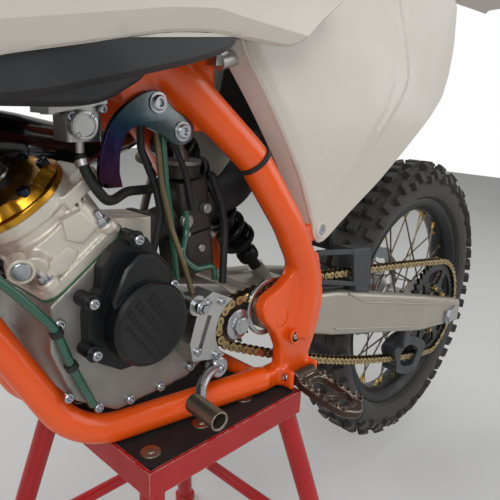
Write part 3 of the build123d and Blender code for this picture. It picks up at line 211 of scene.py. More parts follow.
# Black anodised or painted metal
finish("black_metal", "#121315", "#1a1b1e", 0.38, spread=30, grain=0.9, relief=0.02, metallic=0.3)
# Heat-proof gloss lacquer of the expansion chamber
finish("black_lacquer", "#0c0d0f", "#131417", 0.14, spread=60, grain=2.2, relief=0.01, coat=0.6, rough_spread=0.03)
# Gold plated chain plates
finish("chain_gold", "#c8b482", "#a48d5c", 0.34, spread=8, grain=0.8, relief=0.02, metallic=1.0)
# Inner chain plates and rollers: browned steel under a film of wax
finish("chain_brown", "#4a3a30", "#2e2723", 0.38, spread=6, grain=0.8, relief=0.03, metallic=0.9)
# Brass plated spoke nipples and zinc yellow passivated screws
finish("brass_nipples", "#a98f5a", "#8d7748", 0.34, spread=8, grain=0.6, relief=0.01, metallic=1.0)
# Clear green PVC vent hose, dulled by fuel
finish("green_pvc", "#1d4a3a", "#2a5f4b", 0.18, spread=30, grain=2.0, relief=0.01, coat=0.4)
# Bronze coloured cover of the clutch line
finish("bronze_cover", "#7a6a4e", "#5f5440", 0.40, spread=10, grain=0.9, relief=0.03, metallic=0.6)
# Cylinder: gravity cast aluminium, bead blasted to a warm light grey
finish("blasted_aluminium", "#e0d9cd", "#d0c9bd", 0.46, spread=22, grain=0.7, relief=0.05, metallic=0.6)
# Swingarm: hydroformed aluminium under a dull clear anodised layer
finish("satin_anodised", "#b4aea3", "#a8a298", 0.44, spread=60, grain=0.7, relief=0.015, metallic=0.7)
# Spokes: stainless wire with a film of brake dust
finish("dusty_spokes", "#85796b", "#6a6056", 0.36, spread=25, grain=0.8, relief=0.01, metallic=0.95)
# Hard chromed fork legs
finish("hard_chrome", "#d9dadc", "#cfd0d3", 0.12, spread=60, grain=1.0, relief=0.002, metallic=1.0, rough_spread=0.02)
# Tyre rubber, dusty between the knobs
finish("tyre_rubber", "#242423", "#3a3835", 0.74, spread=14, grain=1.1, relief=0.08, sheen=0.1)
# Soft black rubber of grips, hoses and the mat
finish("soft_rubber", "#0f0f10", "#19191a", 0.62, spread=20, grain=0.9, relief=0.03)
# Seat cover: ribbed gripper vinyl
finish("seat_vinyl", "#1f2022", "#292a2d", 0.60, spread=30, grain=1.3, relief=0.10, cells=True)
# Painted shade: near-black for the shade inside the ignition cover's slot holes and the pivot's recess
finish("painted_slot_shade", "#060607", "#0a0a0b", 0.85, spread=20, grain=0.7, relief=0.05)
# Green coated paper of the cylinder's base gasket
finish("gasket_green", "#2f6b45", "#275a3a", 0.60, spread=12, grain=0.6, relief=0.03)
# Blue-black oxide of hardened socket screws
finish("blue_black_steel", "#2b3240", "#1d222d", 0.30, spread=7, grain=0.7, relief=0.01, metallic=0.9)
print(len(finishes), "finishes")

# %% [markdown]
# ## Steel coloured by heat
#
# The engine's upper stay was heated at its foot when it was welded. Its oxide film thins with
# the distance from there, so the interference colours follow one another: red-purple, violet,
# blue, teal, and bare steel at the far bolts. The distance picks the colour from a ramp.

# %% Heat tint
def heat_tinted(name, hot_point, bands):
    """bands is a list of (distance from the hot point in mm, colour)."""
    material = finish(name, "#8a9096", "#7d848b", 0.24, spread=14, relief=0.01, metallic=1.0)
    tree = material.node_tree
    place = add(tree, "TexCoord")
    wander = add(tree, "TexNoise", {"Vector": (place, "Object"), "Scale": per_mm(22)})
    away = add(tree, "VectorMath", {0: (place, "Object"), 1: tuple(hot_point)}, operation="DISTANCE")
    moved = add(tree, "Math", {0: (wander, 0), 1: 12 * MM, 2: (away, "Value")}, operation="MULTIPLY_ADD")
    share = add(tree, "MapRange", {"Value": (moved, 0), "From Max": 0.1})
    ramp = add(tree, "ValToRGB", {"Fac": (share, 0)})
    stops = ramp.color_ramp.elements
    for k, (distance, colour) in enumerate(bands):
        stop = stops[k] if k < 2 else stops.new(distance / 100)
        stop.position, stop.color = distance / 100, linear(colour)
    shader = next(node for node in tree.nodes if node.type == "BSDF_PRINCIPLED")
    tree.links.new(ramp.outputs[0], shader.inputs["Base Color"])


heat_tinted("heat_tinted_steel", at(715, 68, 303), [(4, "#331a1c"), (28, "#3a2340"), (50, "#232445"), (70, "#243c48"),
                                                    (84, "#414d50"), (98, "#5f6466")])

# %% [markdown]
# ## Dressing the CAD parts
#
# A CAD part whose shape is right only needs its finish. The table gives each one.

# %% Finish of each CAD part
DRESS = {
    "powder_coat_orange": ["main_frame"],
    "stand_enamel_red": ["stand_frame"],
    "white_polypropylene": ["side_panels", "shrouds", "rear_fender", "front_fender", "number_plate", "fork_guards"],
    "black_plastic": ["airbox", "chain_guide"],
    "tank_polyethylene": ["fuel_tank"],
    "cast_aluminium": ["crankcase", "clutch_cover"],
    "blasted_aluminium": ["cylinder"],
    "satin_anodised": ["swingarm"],
    "bare_aluminium": ["subframe", "triple_clamps", "sprocket_cover", "fuel_tap", "silencer", "radiators"],
    "plated_steel": ["pivot_bolt", "rear_axle", "front_axle", "gear_lever", "brake_pedal", "rear_hub", "front_hub"],
    "ground_steel": ["rear_disc", "front_disc"],
    "worn_steel": ["footpegs", "kick_starter", "drive_sprocket"],
    "gold_anodised": ["cylinder_head", "fork_tubes", "rear_caliper", "front_caliper"],
    "black_metal": ["ignition_cover", "rear_shock", "handlebar", "control_levers", "rear_rim",
                    "front_rim", "exhaust_pipe", "rear_sprocket"],
    "dark_cast": ["carburettor"],
    "green_pvc": ["vent_hoses"],
    "bronze_cover": ["clutch_line"],
    "chain_gold": ["chain"],
    "hard_chrome": ["fork_legs"],
    "tyre_rubber": ["rear_tyre", "front_tyre"],
    "soft_rubber": ["stand_mat", "grips", "black_hoses"],
    "seat_vinyl": ["seat"],
    "heat_tinted_steel": ["head_stay"],
}


def dress(thing, name):
    """Puts one finish on an object in place of what it had."""
    thing.data.materials.clear()
    thing.data.materials.append(finishes[name])


for name, nodes in DRESS.items():
    for node in nodes:
        dress(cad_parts[node], name)
print("dressed", sum(len(nodes) for nodes in DRESS.values()), "of", len(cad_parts), "CAD parts")

# %% [markdown]
# ## Shapes from arrays
#
# The formed pieces are computed. Each helper gives a list of corner points and a list of
# faces, in millimetres from the rear axle. A piece joins several of them into one mesh, moves
# it to the shared frame and lets it ride on the body that carries the real thing.

# %% Shape helpers
def square_to(axis):
    """An axis of length 1 and two unit vectors square to it: u = b x a / |b x a|, v = a x u."""
    a = np.asarray(axis, dtype=float)
    a = a / np.linalg.norm(a)
    b = np.array([0, 0, 1.0]) if abs(a[2]) < 0.9 else np.array([1.0, 0, 0])
    u = np.cross(b, a)
    u /= np.linalg.norm(u)
    return a, u, np.cross(a, u)


def skinned(rings, wrap=False, caps=True):
    """Faces between rings of equally many points. wrap joins the last ring to the first."""
    rings = np.asarray(rings, dtype=float)
    rows, count = rings.shape[:2]
    faces = []
    for i in range(rows if wrap else rows - 1):
        here, there = i * count, (i + 1) % rows * count
        for j in range(count):
            k = (j + 1) % count
            faces.append((here + j, here + k, there + k, there + j))
    if caps and not wrap:
        faces.append(tuple(range(count))[::-1])
        faces.append(tuple(range((rows - 1) * count, rows * count)))
    return rings.reshape(-1, 3), faces


def lathe(profile, centre, axis, count=32, wrap=False):
    """A turned form: the profile's point (r, h) stands at c + h a + r (u cos t + v sin t)."""
    a, u, v = square_to(axis)
    t = 2 * np.pi * np.arange(count) / count
    circle = np.cos(t)[:, None] * u + np.sin(t)[:, None] * v
    rings = [np.asarray(centre, float) + h * a + max(r, 0.01) * circle for r, h in profile]
    return skinned(rings, wrap=wrap)


def smooth_line(points, steps=8):
    """Catmull-Rom: p(t) = (2 b + (c - a) t + (2a - 5b + 4c - d) t^2 + (3b - a - 3c + d) t^3) / 2."""
    p = np.asarray(points, dtype=float)
    p = np.vstack([2 * p[0] - p[1], p, 2 * p[-1] - p[-2]])
    line = []
    for a, b, c, d in zip(p, p[1:], p[2:], p[3:]):
        for t in np.arange(steps) / steps:
            line.append((2 * b + (c - a) * t + (2 * a - 5 * b + 4 * c - d) * t ** 2
                         + (3 * b - a - 3 * c + d) * t ** 3) / 2)
    return np.array(line + [p[-2]])


def hose(points, radius, sides=12, steps=8, squash=1.0):
    """A round tube on a smooth line. Each ring's frame is the last one turned as little as possible."""
    line = smooth_line(points, steps) if steps > 1 else np.asarray(points, float)
    radii = np.broadcast_to(np.asarray(radius, dtype=float), (len(points),))
    radii = np.interp(np.linspace(0, 1, len(line)), np.linspace(0, 1, len(points)), radii)
    ways = np.gradient(line, axis=0)
    _, u, _ = square_to(ways[0])
    t = 2 * np.pi * np.arange(sides) / sides
    rings = []
    for point, way, r in zip(line, ways, radii):
        way = way / np.linalg.norm(way)
        u = u - way * (u @ way)
        u /= np.linalg.norm(u)
        rings.append(point + r * (np.cos(t)[:, None] * u + squash * np.sin(t)[:, None] * np.cross(way, u)))
    return skinned(rings)


def inset(outline, amount):
    """An outline of (x, z) moved inwards: each corner goes along m / (m . n), m its mean normal."""
    p = np.asarray(outline, dtype=float)
    before, after = p - np.roll(p, 1, 0), np.roll(p, -1, 0) - p
    turn = np.sign(np.sum(p[:, 0] * np.roll(p[:, 1], -1) - np.roll(p[:, 0], -1) * p[:, 1]))
    normals = [np.stack([-e[:, 1], e[:, 0]], 1) / np.linalg.norm(e, axis=1)[:, None] * turn
               for e in (before, after)]
    middle = normals[0] + normals[1]
    middle /= np.maximum(np.linalg.norm(middle, axis=1), 0.2)[:, None]
    return p + amount * middle / np.maximum(np.sum(middle * normals[0], 1), 0.4)[:, None]


def plate(outline, levels):
    """A moulded or milled plate across the bike. levels is a list of (y, inset) from one face
    to the other, so that a step or a rounded edge is a run of insets."""
    rings = []
    for y, amount in levels:
        xz = inset(outline, amount)
        rings.append(np.stack([xz[:, 0], np.full(len(xz), float(y)), xz[:, 1]], 1))
    return skinned(rings)


def rounded(y_low, y_high, radius, steps=3):
    """Levels of a plate with both edges rounded: inset r (1 - sin a) at height r (1 - cos a)."""
    turn = np.linspace(0, np.pi / 2, steps + 1)
    way = 1 if y_high > y_low else -1
    low = [(y_low + way * radius * (1 - np.cos(a)), radius * (1 - np.sin(a))) for a in turn]
    return low + [(y_high - way * radius * (1 - np.cos(a)), radius * (1 - np.sin(a))) for a in turn[::-1]]


def curve_2d(outline, steps=5):
    """A closed outline made smooth through its corners."""
    p = np.asarray(outline, dtype=float)
    padded = np.vstack([p[-2:], p, p[:3]])
    line = smooth_line(np.hstack([padded, np.zeros((len(padded), 1))]), steps)
    return line[2 * steps:(2 + len(p)) * steps, :2]


def screw(centre, axis, radius, height, recess=0.55):
    """The head of a socket screw: a turned cap with a recess."""
    c = 0.18 * radius
    return lathe([(0, 0), (radius, 0), (radius, height - c), (radius - c, height), (recess * radius, height),
                  (recess * radius * 0.9, height * 0.45), (0, height * 0.45)], centre, axis, 20)


def hexagon(centre, axis, radius, height):
    """A hexagon head or nut on its round washer."""
    washer = lathe([(0, 0), (radius * 1.25, 0), (radius * 1.25, 1.2), (0, 1.2)], centre, axis, 28)
    head = lathe([(0, 1.2), (radius, 1.2), (radius, height - 1), (radius * 0.86, height), (0, height)],
                 centre, axis, 6)
    return joined([washer, head])


def joined(parts):
    """Several (points, faces) as one."""
    points, faces, start = [], [], 0
    for p, f in parts:
        points.append(np.asarray(p, dtype=float))
        faces += [tuple(i + start for i in face) for face in f]
        start += len(p)
    return np.vstack(points), faces


def mirrored(part):
    """The part on the other side of the bike's middle."""
    points, faces = part
    return points * np.array([1, -1, 1]), [face[::-1] for face in faces]


def piece(name, parts, dressed, body="motorcycle", sharp=34, replaces=()):
    """One mesh object from parts: moved to shared metres, outward normals, its finish and body."""
    points, faces = joined(parts)
    mesh = bpy.data.meshes.new(name)
    mesh.from_pydata(((points + REAR_AXLE) * MM).tolist(), [], faces)
    shell = bmesh.new()
    shell.from_mesh(mesh)
    bmesh.ops.recalc_face_normals(shell, faces=shell.faces)
    shell.to_mesh(mesh)
    shell.free()
    mesh.polygons.foreach_set("use_smooth", [True] * len(mesh.polygons))
    mesh.set_sharp_from_angle(angle=math.radians(sharp))
    thing = bpy.data.objects.new(name, mesh)
    bpy.context.collection.objects.link(thing)
    dress(thing, dressed)
    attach(thing, body)
    if replaces:
        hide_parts(*replaces)
    return thing


def ring_plate(centre, y_low, y_high, inner, outer):
    """A flat ring across the bike. inner and outer are equally long arrays of radii."""
    t = 2 * np.pi * np.arange(len(outer)) / len(outer)
    rings = []
    for y, radii in ((y_low, inner), (y_low, outer), (y_high, outer), (y_high, inner)):
        rings.append(np.stack([centre[0] + radii * np.cos(t), np.full(len(t), float(y)),
                               centre[1] + radii * np.sin(t)], 1))
    return skinned(rings, wrap=True)


print("a screw has", len(screw((0, 0, 0), (0, 1, 0), 5, 5)[1]), "faces")

# %% [markdown]
# ## The frame's skin
#
# The frame is welded from drawn tubes and forged plates, ground at the joints and then powder
# coated, so that one part flows into the next. The CAD has the true tubes with sharp joints. A
# copy of its mesh is rebuilt on a fine grid and relaxed, which turns every joint into a fillet.

# %% Frame skin and its welds
def relaxed(node, name, dressed, voxel, rounds, body="motorcycle"):
    """A copy of a CAD part, remeshed at voxel mm and smoothed for some rounds."""
    copy = bpy.data.objects.new(name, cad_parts[node].data.copy())
    bpy.context.collection.objects.link(copy)
    merge = copy.modifiers.new("merge", "WELD")
    merge.merge_threshold = 1e-5
    grid = copy.modifiers.new("grid", "REMESH")
    grid.mode, grid.voxel_size = "VOXEL", voxel * MM
    relax = copy.modifiers.new("relax", "SMOOTH")
    relax.factor, relax.iterations = 0.5, rounds
    bpy.context.view_layer.update()
    mesh = bpy.data.meshes.new_from_object(copy.evaluated_get(bpy.context.evaluated_depsgraph_get()))
    copy.modifiers.clear()
    copy.data = mesh
    mesh.polygons.foreach_set("use_smooth", [True] * len(mesh.polygons))
    dress(copy, dressed)
    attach(copy, body)
    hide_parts(node)
    print(name, len(mesh.polygons), "faces")
    return copy


skin = relaxed("main_frame", "frame_skin", "powder_coat_orange", 3.2, 7)


def skin_at(x, z):
    """How far left the frame's skin reaches at (x, z): a ray from the left, straight across."""
    hit, place, _, _ = skin.ray_cast(Vector(at(x, 200, z)), Vector((0, -1, 0)))
    return place.y / MM if hit else 105.0

# %% [markdown]
# ## The chain
#
# A 420 chain: pairs of figure-eight plates, narrow and wide in turn, on pins one pitch apart,
# with a roller between them. The pitch line is the same as the CAD's: round both sprockets,
# sagging below, and lifted over the slider above.

# %% Pitch line
PITCH, CHAIN_Y = 12.7, 74.0
REAR_TEETH, FRONT_TEETH = 48, 14
DRIVE = np.array([553.0, 126.0])


def pitch_radius(teeth):
    """Radius of the circle of the pins: p / (2 sin(pi / n))."""
    return PITCH / 2 / math.sin(math.pi / teeth)


def pitch_line():
    """The chain's line as a dense closed list of (x, z)."""
    rear, front = pitch_radius(REAR_TEETH), pitch_radius(FRONT_TEETH)
    back = [(rear * math.cos(a), rear * math.sin(a)) for a in np.radians(np.linspace(98, 258, 49))]
    nose = [(DRIVE[0] + front * math.cos(a), DRIVE[1] + front * math.sin(a))
            for a in np.radians(np.linspace(-68, 95, 18))]
    low = [np.array(back[-1]) * (1 - t) + np.array(nose[0]) * t - np.array([0, 22.0 * 4 * t * (1 - t)])
           for t in np.arange(1, 60) / 60]
    top, crest, end, high = nose[-1], (475.0, 158.0), back[0], []
    for t in np.arange(1, 60) / 60:
        x = top[0] + (end[0] - top[0]) * t
        if x > crest[0]:
            z = top[1] + (crest[1] - top[1]) * math.sin((top[0] - x) / (top[0] - crest[0]) * math.pi / 2)
        else:
            z = crest[1] + (end[1] - crest[1]) * ((crest[0] - x) / (crest[0] - end[0])) ** 1.15
        high.append((x, z))
    return np.array(back + low + nose + high)


line = pitch_line()
steps = np.linalg.norm(np.roll(line, -1, 0) - line, axis=1)
links = 2 * round(steps.sum() / PITCH / 2)
walked = np.concatenate([[0], np.cumsum(steps)])
closed = np.vstack([line, line[:1]])
due = np.arange(links) * steps.sum() / links
pins = np.stack([np.interp(due, walked, closed[:, 0]), np.interp(due, walked, closed[:, 1])], 1)
print(links, "links, pitch", round(steps.sum() / links, 2), "mm")

# %% Links
eight = []
for end, turn, waist in ((0.5, np.linspace(-125, 125, 11), 0.27), (-0.5, np.linspace(55, 305, 11), -0.27)):
    eight += [(end + 0.43 * math.cos(a), 0.43 * math.sin(a)) for a in np.radians(turn)] + [(0, waist)]
EIGHT = np.array(eight) * PITCH                    # a plate 0.86 pitches high, waisted to 0.54

gold, dark, bright = [], [], []
for k, pin in enumerate(pins):
    way = pins[(k + 1) % links] - pin
    way /= np.linalg.norm(way)
    middle = (pin + pins[(k + 1) % links]) / 2
    outline = middle + EIGHT[:, :1] * way + EIGHT[:, 1:] * np.array([-way[1], way[0]])
    reach = 7.1 if k % 2 else 5.2
    for side in (-1, 1):
        y = CHAIN_Y + side * reach
        (gold if k % 2 else dark).append(plate(outline, [(y - 0.9, 0.3), (y - 0.6, 0), (y + 0.6, 0), (y + 0.9, 0.3)]))
    dark.append(lathe([(0, -4.2), (3.9, -4.2), (3.9, 4.2), (0, 4.2)], (pin[0], CHAIN_Y, pin[1]), (0, 1, 0), 12))
    bright.append(lathe([(0, -8.9), (1.8, -8.9), (2.2, -8.5), (2.2, 8.5), (1.8, 8.9), (0, 8.9)],
                        (pin[0], CHAIN_Y, pin[1]), (0, 1, 0), 10))
piece("chain_outer_plates", gold, "chain_gold", replaces=["chain"])
piece("chain_inner_plates", dark, "chain_brown")
piece("chain_pins", bright, "dusty_spokes")

# %% [markdown]
# ## Wheels
#
# Each wheel has a tyre with rows of blocks, a black rim of rolled section, round spokes in
# brass-plated nipples, a turned hub and a waved brake disc. The rear one has its sprocket too.

# %% Wheel parts
def tyre(centre, radius, section, knob, flange, half_rim, pitches):
    """Carcass and knobs. A point at angle a across the tyre and reach s from the section's
    middle stands at radius c + s cos a, held under the crown, and at y = s sin a."""
    core = radius - (section + knob) * math.cos(math.radians(27))

    def spot(across, reach, around):
        r = min(core + reach * math.cos(across), radius - (section + knob - reach))
        return [centre[0] + r * math.cos(around), reach * math.sin(across), centre[1] + r * math.sin(around)]

    profile = [(flange - 9, half_rim - 5), (flange + 1, half_rim - 3.4)]
    for a in np.radians(np.linspace(118, -118, 31)):
        profile.append((min(core + section * math.cos(a), radius - knob), section * math.sin(a)))
    profile += [(flange + 1, 3.4 - half_rim), (flange - 9, 5 - half_rim)]
    parts = [lathe(profile, (centre[0], 0, centre[1]), (0, 1, 0), 144, wrap=True)]
    blocks = [(0.0, -25, -4, 0.15), (0.0, 4, 25, 0.15), (0.5, -14, 14, 0.13), (0.5, -46, -28, 0.14),
              (0.5, 28, 46, 0.14), (0.0, -72, -46, 0.15), (0.0, 46, 72, 0.15), (0.5, -80, -60, 0.11),
              (0.5, 60, 80, 0.11)]
    for pitch in range(pitches):
        for phase, low, high, half in blocks:
            rings = []
            for reach, shrink in ((section - 1, 1.0), (section + knob - 1, 0.93), (section + knob, 0.84)):
                mid, spread = math.radians((low + high) / 2), math.radians((high - low) / 2) * shrink
                ring = []
                for da, dt in ((-1, -1), (-1, 1), (0, 1), (1, 1), (1, -1), (0, -1)):
                    around = 2 * math.pi * (pitch + phase + dt * half * shrink) / pitches
                    ring.append(spot(mid + da * spread, reach if abs(low + high) < 100 else reach - 3, around))
                rings.append(ring)
            parts.append(skinned(rings))
    return parts


def rim_part(centre, radius, half):
    """A rolled rim: hollow chamber, flanges with a rolled lip and a dropped well."""
    profile = [(radius, half - 1), (radius + 1, half - 2.2), (radius, half - 3.5), (radius - 11, half - 3.5),
               (radius - 13, half - 6), (radius - 20, half * 0.35), (radius - 20, -half * 0.35),
               (radius - 13, 6 - half), (radius - 11, 3.5 - half), (radius, 3.5 - half),
               (radius + 1, 2.2 - half), (radius, 1 - half), (radius - 3, -half), (radius - 13, -half),
               (radius - 22, -half * 0.7), (radius - 26, -half * 0.4), (radius - 26, half * 0.4),
               (radius - 22, half * 0.7), (radius - 13, half), (radius - 3, half)]
    return lathe(profile, (centre[0], 0, centre[1]), (0, 1, 0), 144, wrap=True)


def spokes(centre, rim_radius, hub_half):
    """32 crossed spokes with their nipples, laced as the CAD has them."""
    wires, nipples = [], []
    for k in range(32):
        side, lean = 1 if k % 2 else -1, 1 if (k // 2) % 2 else -1
        at_rim = 2 * math.pi * (k + 0.5) / 32
        at_hub = at_rim + lean * math.radians(62)
        foot = np.array([41 * math.cos(at_hub), side * (hub_half - 5 + lean * 3), 41 * math.sin(at_hub)])
        tip = np.array([(rim_radius - 25) * math.cos(at_rim), side * 4, (rim_radius - 25) * math.sin(at_rim)])
        shift = np.array([centre[0], 0, centre[1]])
        way = (tip - foot) / np.linalg.norm(tip - foot)
        wires.append(hose([foot + shift, tip + shift], 1.6, 8, 1))
        nipples.append(lathe([(0, 0), (2.4, 0), (3.0, 3), (3.0, 11), (4.2, 13), (4.2, 15), (0, 15)],
                             tip + shift - way * 14, way, 10))
        nipples.append(lathe([(0, 0), (3.2, 0), (3.2, 2), (0, 2.6)],
                             foot + shift - np.array([0, 1 - lean, 0]), (0, lean, 0), 10))
    return wires, nipples


def waved_disc(centre, y, radius, bore):
    """A petal brake disc: the band's edges run as r + 2.4 cos(12 t), on six curved arms."""
    t = 2 * np.pi * np.arange(240) / 240
    band = ring_plate(centre, y - 2, y + 2, radius * 0.74 + 2.0 * np.cos(12 * t), radius - 2.4 + 2.4 * np.cos(12 * t))
    inner = ring_plate(centre, y - 2, y + 2, np.full(240, bore), np.full(240, bore + 13.0))
    parts = [band, inner]
    for k in range(6):
        a = 2 * math.pi * k / 6
        path = []
        for share in np.linspace(0, 1, 6):
            r, turn = bore + 9 + (radius * 0.76 - bore - 9) * share, a + 0.5 * share
            path.append((centre[0] + r * math.cos(turn), centre[1] + r * math.sin(turn)))
        path = np.array(path)
        side = np.gradient(path, axis=0)
        side = np.stack([-side[:, 1], side[:, 0]], 1) / np.linalg.norm(side, axis=1)[:, None] * 5
        parts.append(plate(np.vstack([path + side, (path - side)[::-1]]), [(y - 1.8, 0.3), (y - 1.5, 0), (y + 1.5, 0), (y + 1.8, 0.3)]))
    return parts


def toothed(teeth, centre, bore, phase=0.0):
    """A sprocket ring. Its edge runs between root and tip as a flattened cosine of the teeth."""
    n = teeth * 10
    t = 2 * np.pi * np.arange(n) / n
    wave = np.cos(teeth * (t - phase))
    outer = pitch_radius(teeth) - 0.2 - 4.2 * np.tanh(2.2 * wave) / math.tanh(2.2)
    return ring_plate(centre, CHAIN_Y - 3.0, CHAIN_Y + 3.0, np.full(n, float(bore)), outer)


# %% Both wheels
def wheel(name, centre, tyre_sizes, rim_radius, rim_half, hub_half, disc, carriers):
    """All pieces of one wheel, on its own body."""
    x, z = centre
    body = name + "_wheel"
    piece(name + "_tyre_knobs", tyre(centre, *tyre_sizes), "tyre_rubber", body, 30, [name + "_tyre"])
    piece(name + "_rim_rolled", [rim_part(centre, rim_radius, rim_half)], "black_metal", body, 30, [name + "_rim"])
    wires, nipples = spokes(centre, rim_radius, hub_half)
    piece(name + "_spokes", wires, "dusty_spokes", body)
    h = hub_half
    barrel = [(9.2, -h), (16, -h), (40, 1 - h), (44, 3 - h), (44, 7 - h), (40, 9 - h), (27, 14 - h), (23, 22 - h),
              (23, h - 22), (27, h - 14), (40, h - 9), (44, h - 7), (44, h - 3), (40, h - 1), (16, h), (9.2, h)]
    turned = [lathe(barrel, (x, 0, z), (0, 1, 0), 64, wrap=True)]
    for y_low, y_high, radius in carriers:
        turned.append(lathe([(9.2, y_low), (radius - 8, y_low), (radius, y_low + 2), (radius, y_high - 2),
                             (radius - 8, y_high), (9.2, y_high)], (x, 0, z), (0, 1, 0), 64, wrap=True))
    piece(name + "_hub_turned", turned, "bare_aluminium", body, 30, [name + "_hub"])
    y, radius, bore = disc
    piece(name + "_disc_waved", waved_disc(centre, y, radius, bore), "ground_steel", body, 30, [name + "_disc"])
    side = 1 if y > 0 else -1
    for k in range(6):
        a = 2 * math.pi * (k + 0.5) / 6
        nipples.append(screw((x + (bore + 6) * math.cos(a), y + side * 2, z + (bore + 6) * math.sin(a)),
                             (0, side, 0), 5, 4))
    return nipples


rear_bits = wheel("rear", (0, 0), (284, 39.5, 13.5, 213, 29, 26), 213, 29, 34, (-58, 100, 34),
                  [(33, 70.6, 50), (-56, -33, 42)])
for k in range(6):
    a = 2 * math.pi * (k + 0.5) / 6
    rear_bits.append(hexagon((43 * math.cos(a), 77, 43 * math.sin(a)), (0, 1, 0), 5.5, 6))
piece("rear_small_parts", rear_bits, "brass_nipples", "rear_wheel")
front_bits = wheel("front", (1290, 20), (311, 31, 9, 251, 24, 32), 251, 24, 28, (52, 110, 30), [(27, 50, 38)])
piece("front_small_parts", front_bits, "brass_nipples", "front_wheel")

arms = []
for k in range(6):
    a = 2 * math.pi * k / 6
    u, v = np.array([math.cos(a), math.sin(a)]), np.array([-math.sin(a), math.cos(a)])
    arm = [u * 46 + v * 13, u * 66 + v * 7, u * 84 + v * 13, u * 84 - v * 13, u * 66 - v * 7, u * 46 - v * 13]
    arms.append(plate(arm, [(71.4, 0.6), (72, 0), (76, 0), (76.6, 0.6)]))
piece("rear_sprocket_cut", [toothed(REAR_TEETH, (0, 0), 79), ring_plate((0, 0), 71.2, 76.8, np.full(96, 36.0), np.full(96, 51.0))] + arms,
      "black_metal", "rear_wheel", 30, ["rear_sprocket"])

# %% [markdown]
# ## The engine's left side
#
# What the CAD carries as plain castings gets its small forms: the ignition cover's bevelled lid
# with its slot holes painted as near-black shade, the socket screws, the green gasket at the
# cylinder's foot, the scallops and screws of the gold head, the plug cap, and the blued stay with its two screws.

# %% Ignition cover
COVER = (684.0, 166.0)
LID_Y = 96.0
cover = [lathe([(38, 0), (43.6, 0), (44, 0.8), (44, 8.4), (41.4, 12.2), (38.4, 12.6), (37.6, 12.2), (0, 12.2)],
               (COVER[0], 84, COVER[1]), (0, 1, 0), 96)]
step_edge = [(709, 226), (693, 238), (676, 236), (657, 221), (655, 196), (664, 130), (706, 130), (724, 196)]
cover.append(plate(step_edge, [(83, 0), (84.2, 0), (86.4, 2.4), (86.6, 4.5)]))
for x, z in ((692, 252), (742, 199), (741, 147), (650, 198)):
    cover.append(lathe([(0, 78), (8.4, 78), (8.4, 79.4), (7.6, 80.4), (0, 80.4)], (x, 0, z), (0, 1, 0), 32))
piece("ignition_cover_lid", cover, "black_metal")

# Painted shade: thin near-black plates on the lid stand for the shade inside each slot hole of the cover
slot_shades = []
for slant, low, high, half in ((-15.0, -27, 27, 5.6), (-1.0, -33, 33, 4.2), (11.0, -33, 33, 3.0), (21.0, -28, 28, 1.8)):
    across, along = np.array([0.80, -0.60]), np.array([0.60, 0.80])
    for t in np.arange(low, high + 1, 6.5):
        spot = np.array(COVER) + across * slant + along * t
        ring = [spot + across * a + along * b for a, b in ((-half, -2.2), (half, -2.2), (half, 2.2), (-half, 2.2))]
        slot_shades.append(plate(ring, [(LID_Y - 0.4, 0), (LID_Y + 0.34, 0), (LID_Y + 0.5, 0.3)]))
piece("ignition_cover_slot_shade", slot_shades, "painted_slot_shade")

screws = [screw((x, 80.2, z), (0, 1, 0), 5.2, 5.5) for x, z in ((692, 252), (742, 199), (741, 147), (650, 198))]
for x, z in ((760, 100), (728, 76), (690, 70), (650, 70), (607, 80), (560, 106), (545, 148), (765, 178)):
    screws.append(screw((x, 57.6, z), (0, 1, 0), 5.2, 5.5))
for x, z in ((584, 164), (604, 167), (618, 112), (590, 100)):
    screws.append(screw((x, 85.6, z), (0, 1, 0), 4.6, 4.5))
screws.append(lathe([(0, 84), (8, 84), (8, 92), (6.8, 93.2), (0, 93.2)], (617, 0, 166), (0, 1, 0), 28))
screws.append(hexagon((617, 93, 166), (0, 1, 0), 5.5, 6))
for x, z in ((588, 84),):
    screws.append(screw((x, 91.6, z), (0, 1, 0), 5.0, 5.0))
screws.append(hexagon((DRIVE[0], 84, DRIVE[1]), (0, 1, 0), 12, 9))
screws.append(lathe([(0, 83.4), (19, 83.4), (19, 85.2), (17.6, 86), (0, 86)], (DRIVE[0], 0, DRIVE[1]), (0, 1, 0), 40))
piece("engine_screws", screws, "plated_steel")

# %% Cylinder, gasket and head
LEAN = math.radians(36)
CYL_UP = np.array([math.sin(LEAN), 0, math.cos(LEAN)])
CYL_AHEAD = np.array([math.cos(LEAN), 0, -math.sin(LEAN)])
CRANK = np.array([684.0, 0, 166.0])


def on_cylinder(ahead, left, height):
    """A point from the crankshaft's middle: ahead and up along the leaning cylinder."""
    return CRANK + CYL_AHEAD * ahead + np.array([0, left, 0]) + CYL_UP * height


def block(half_x, half_y, radius, heights, shift=0.0):
    """A rounded rectangular block round the cylinder's axis, with its own size at each height."""
    rings = []
    for height, shrink in heights:
        ring = []
        for cx, cy, start in ((1, 1, 0), (-1, 1, 90), (-1, -1, 180), (1, -1, 270)):
            for a in np.radians(np.linspace(start, start + 90, 7)):
                x = cx * (half_x - radius) + (radius - shrink) * math.cos(a)
                y = cy * (half_y - radius) + (radius - shrink) * math.sin(a)
                ring.append(on_cylinder(x + shift, y, height))
        rings.append(ring)
    return skinned(rings)


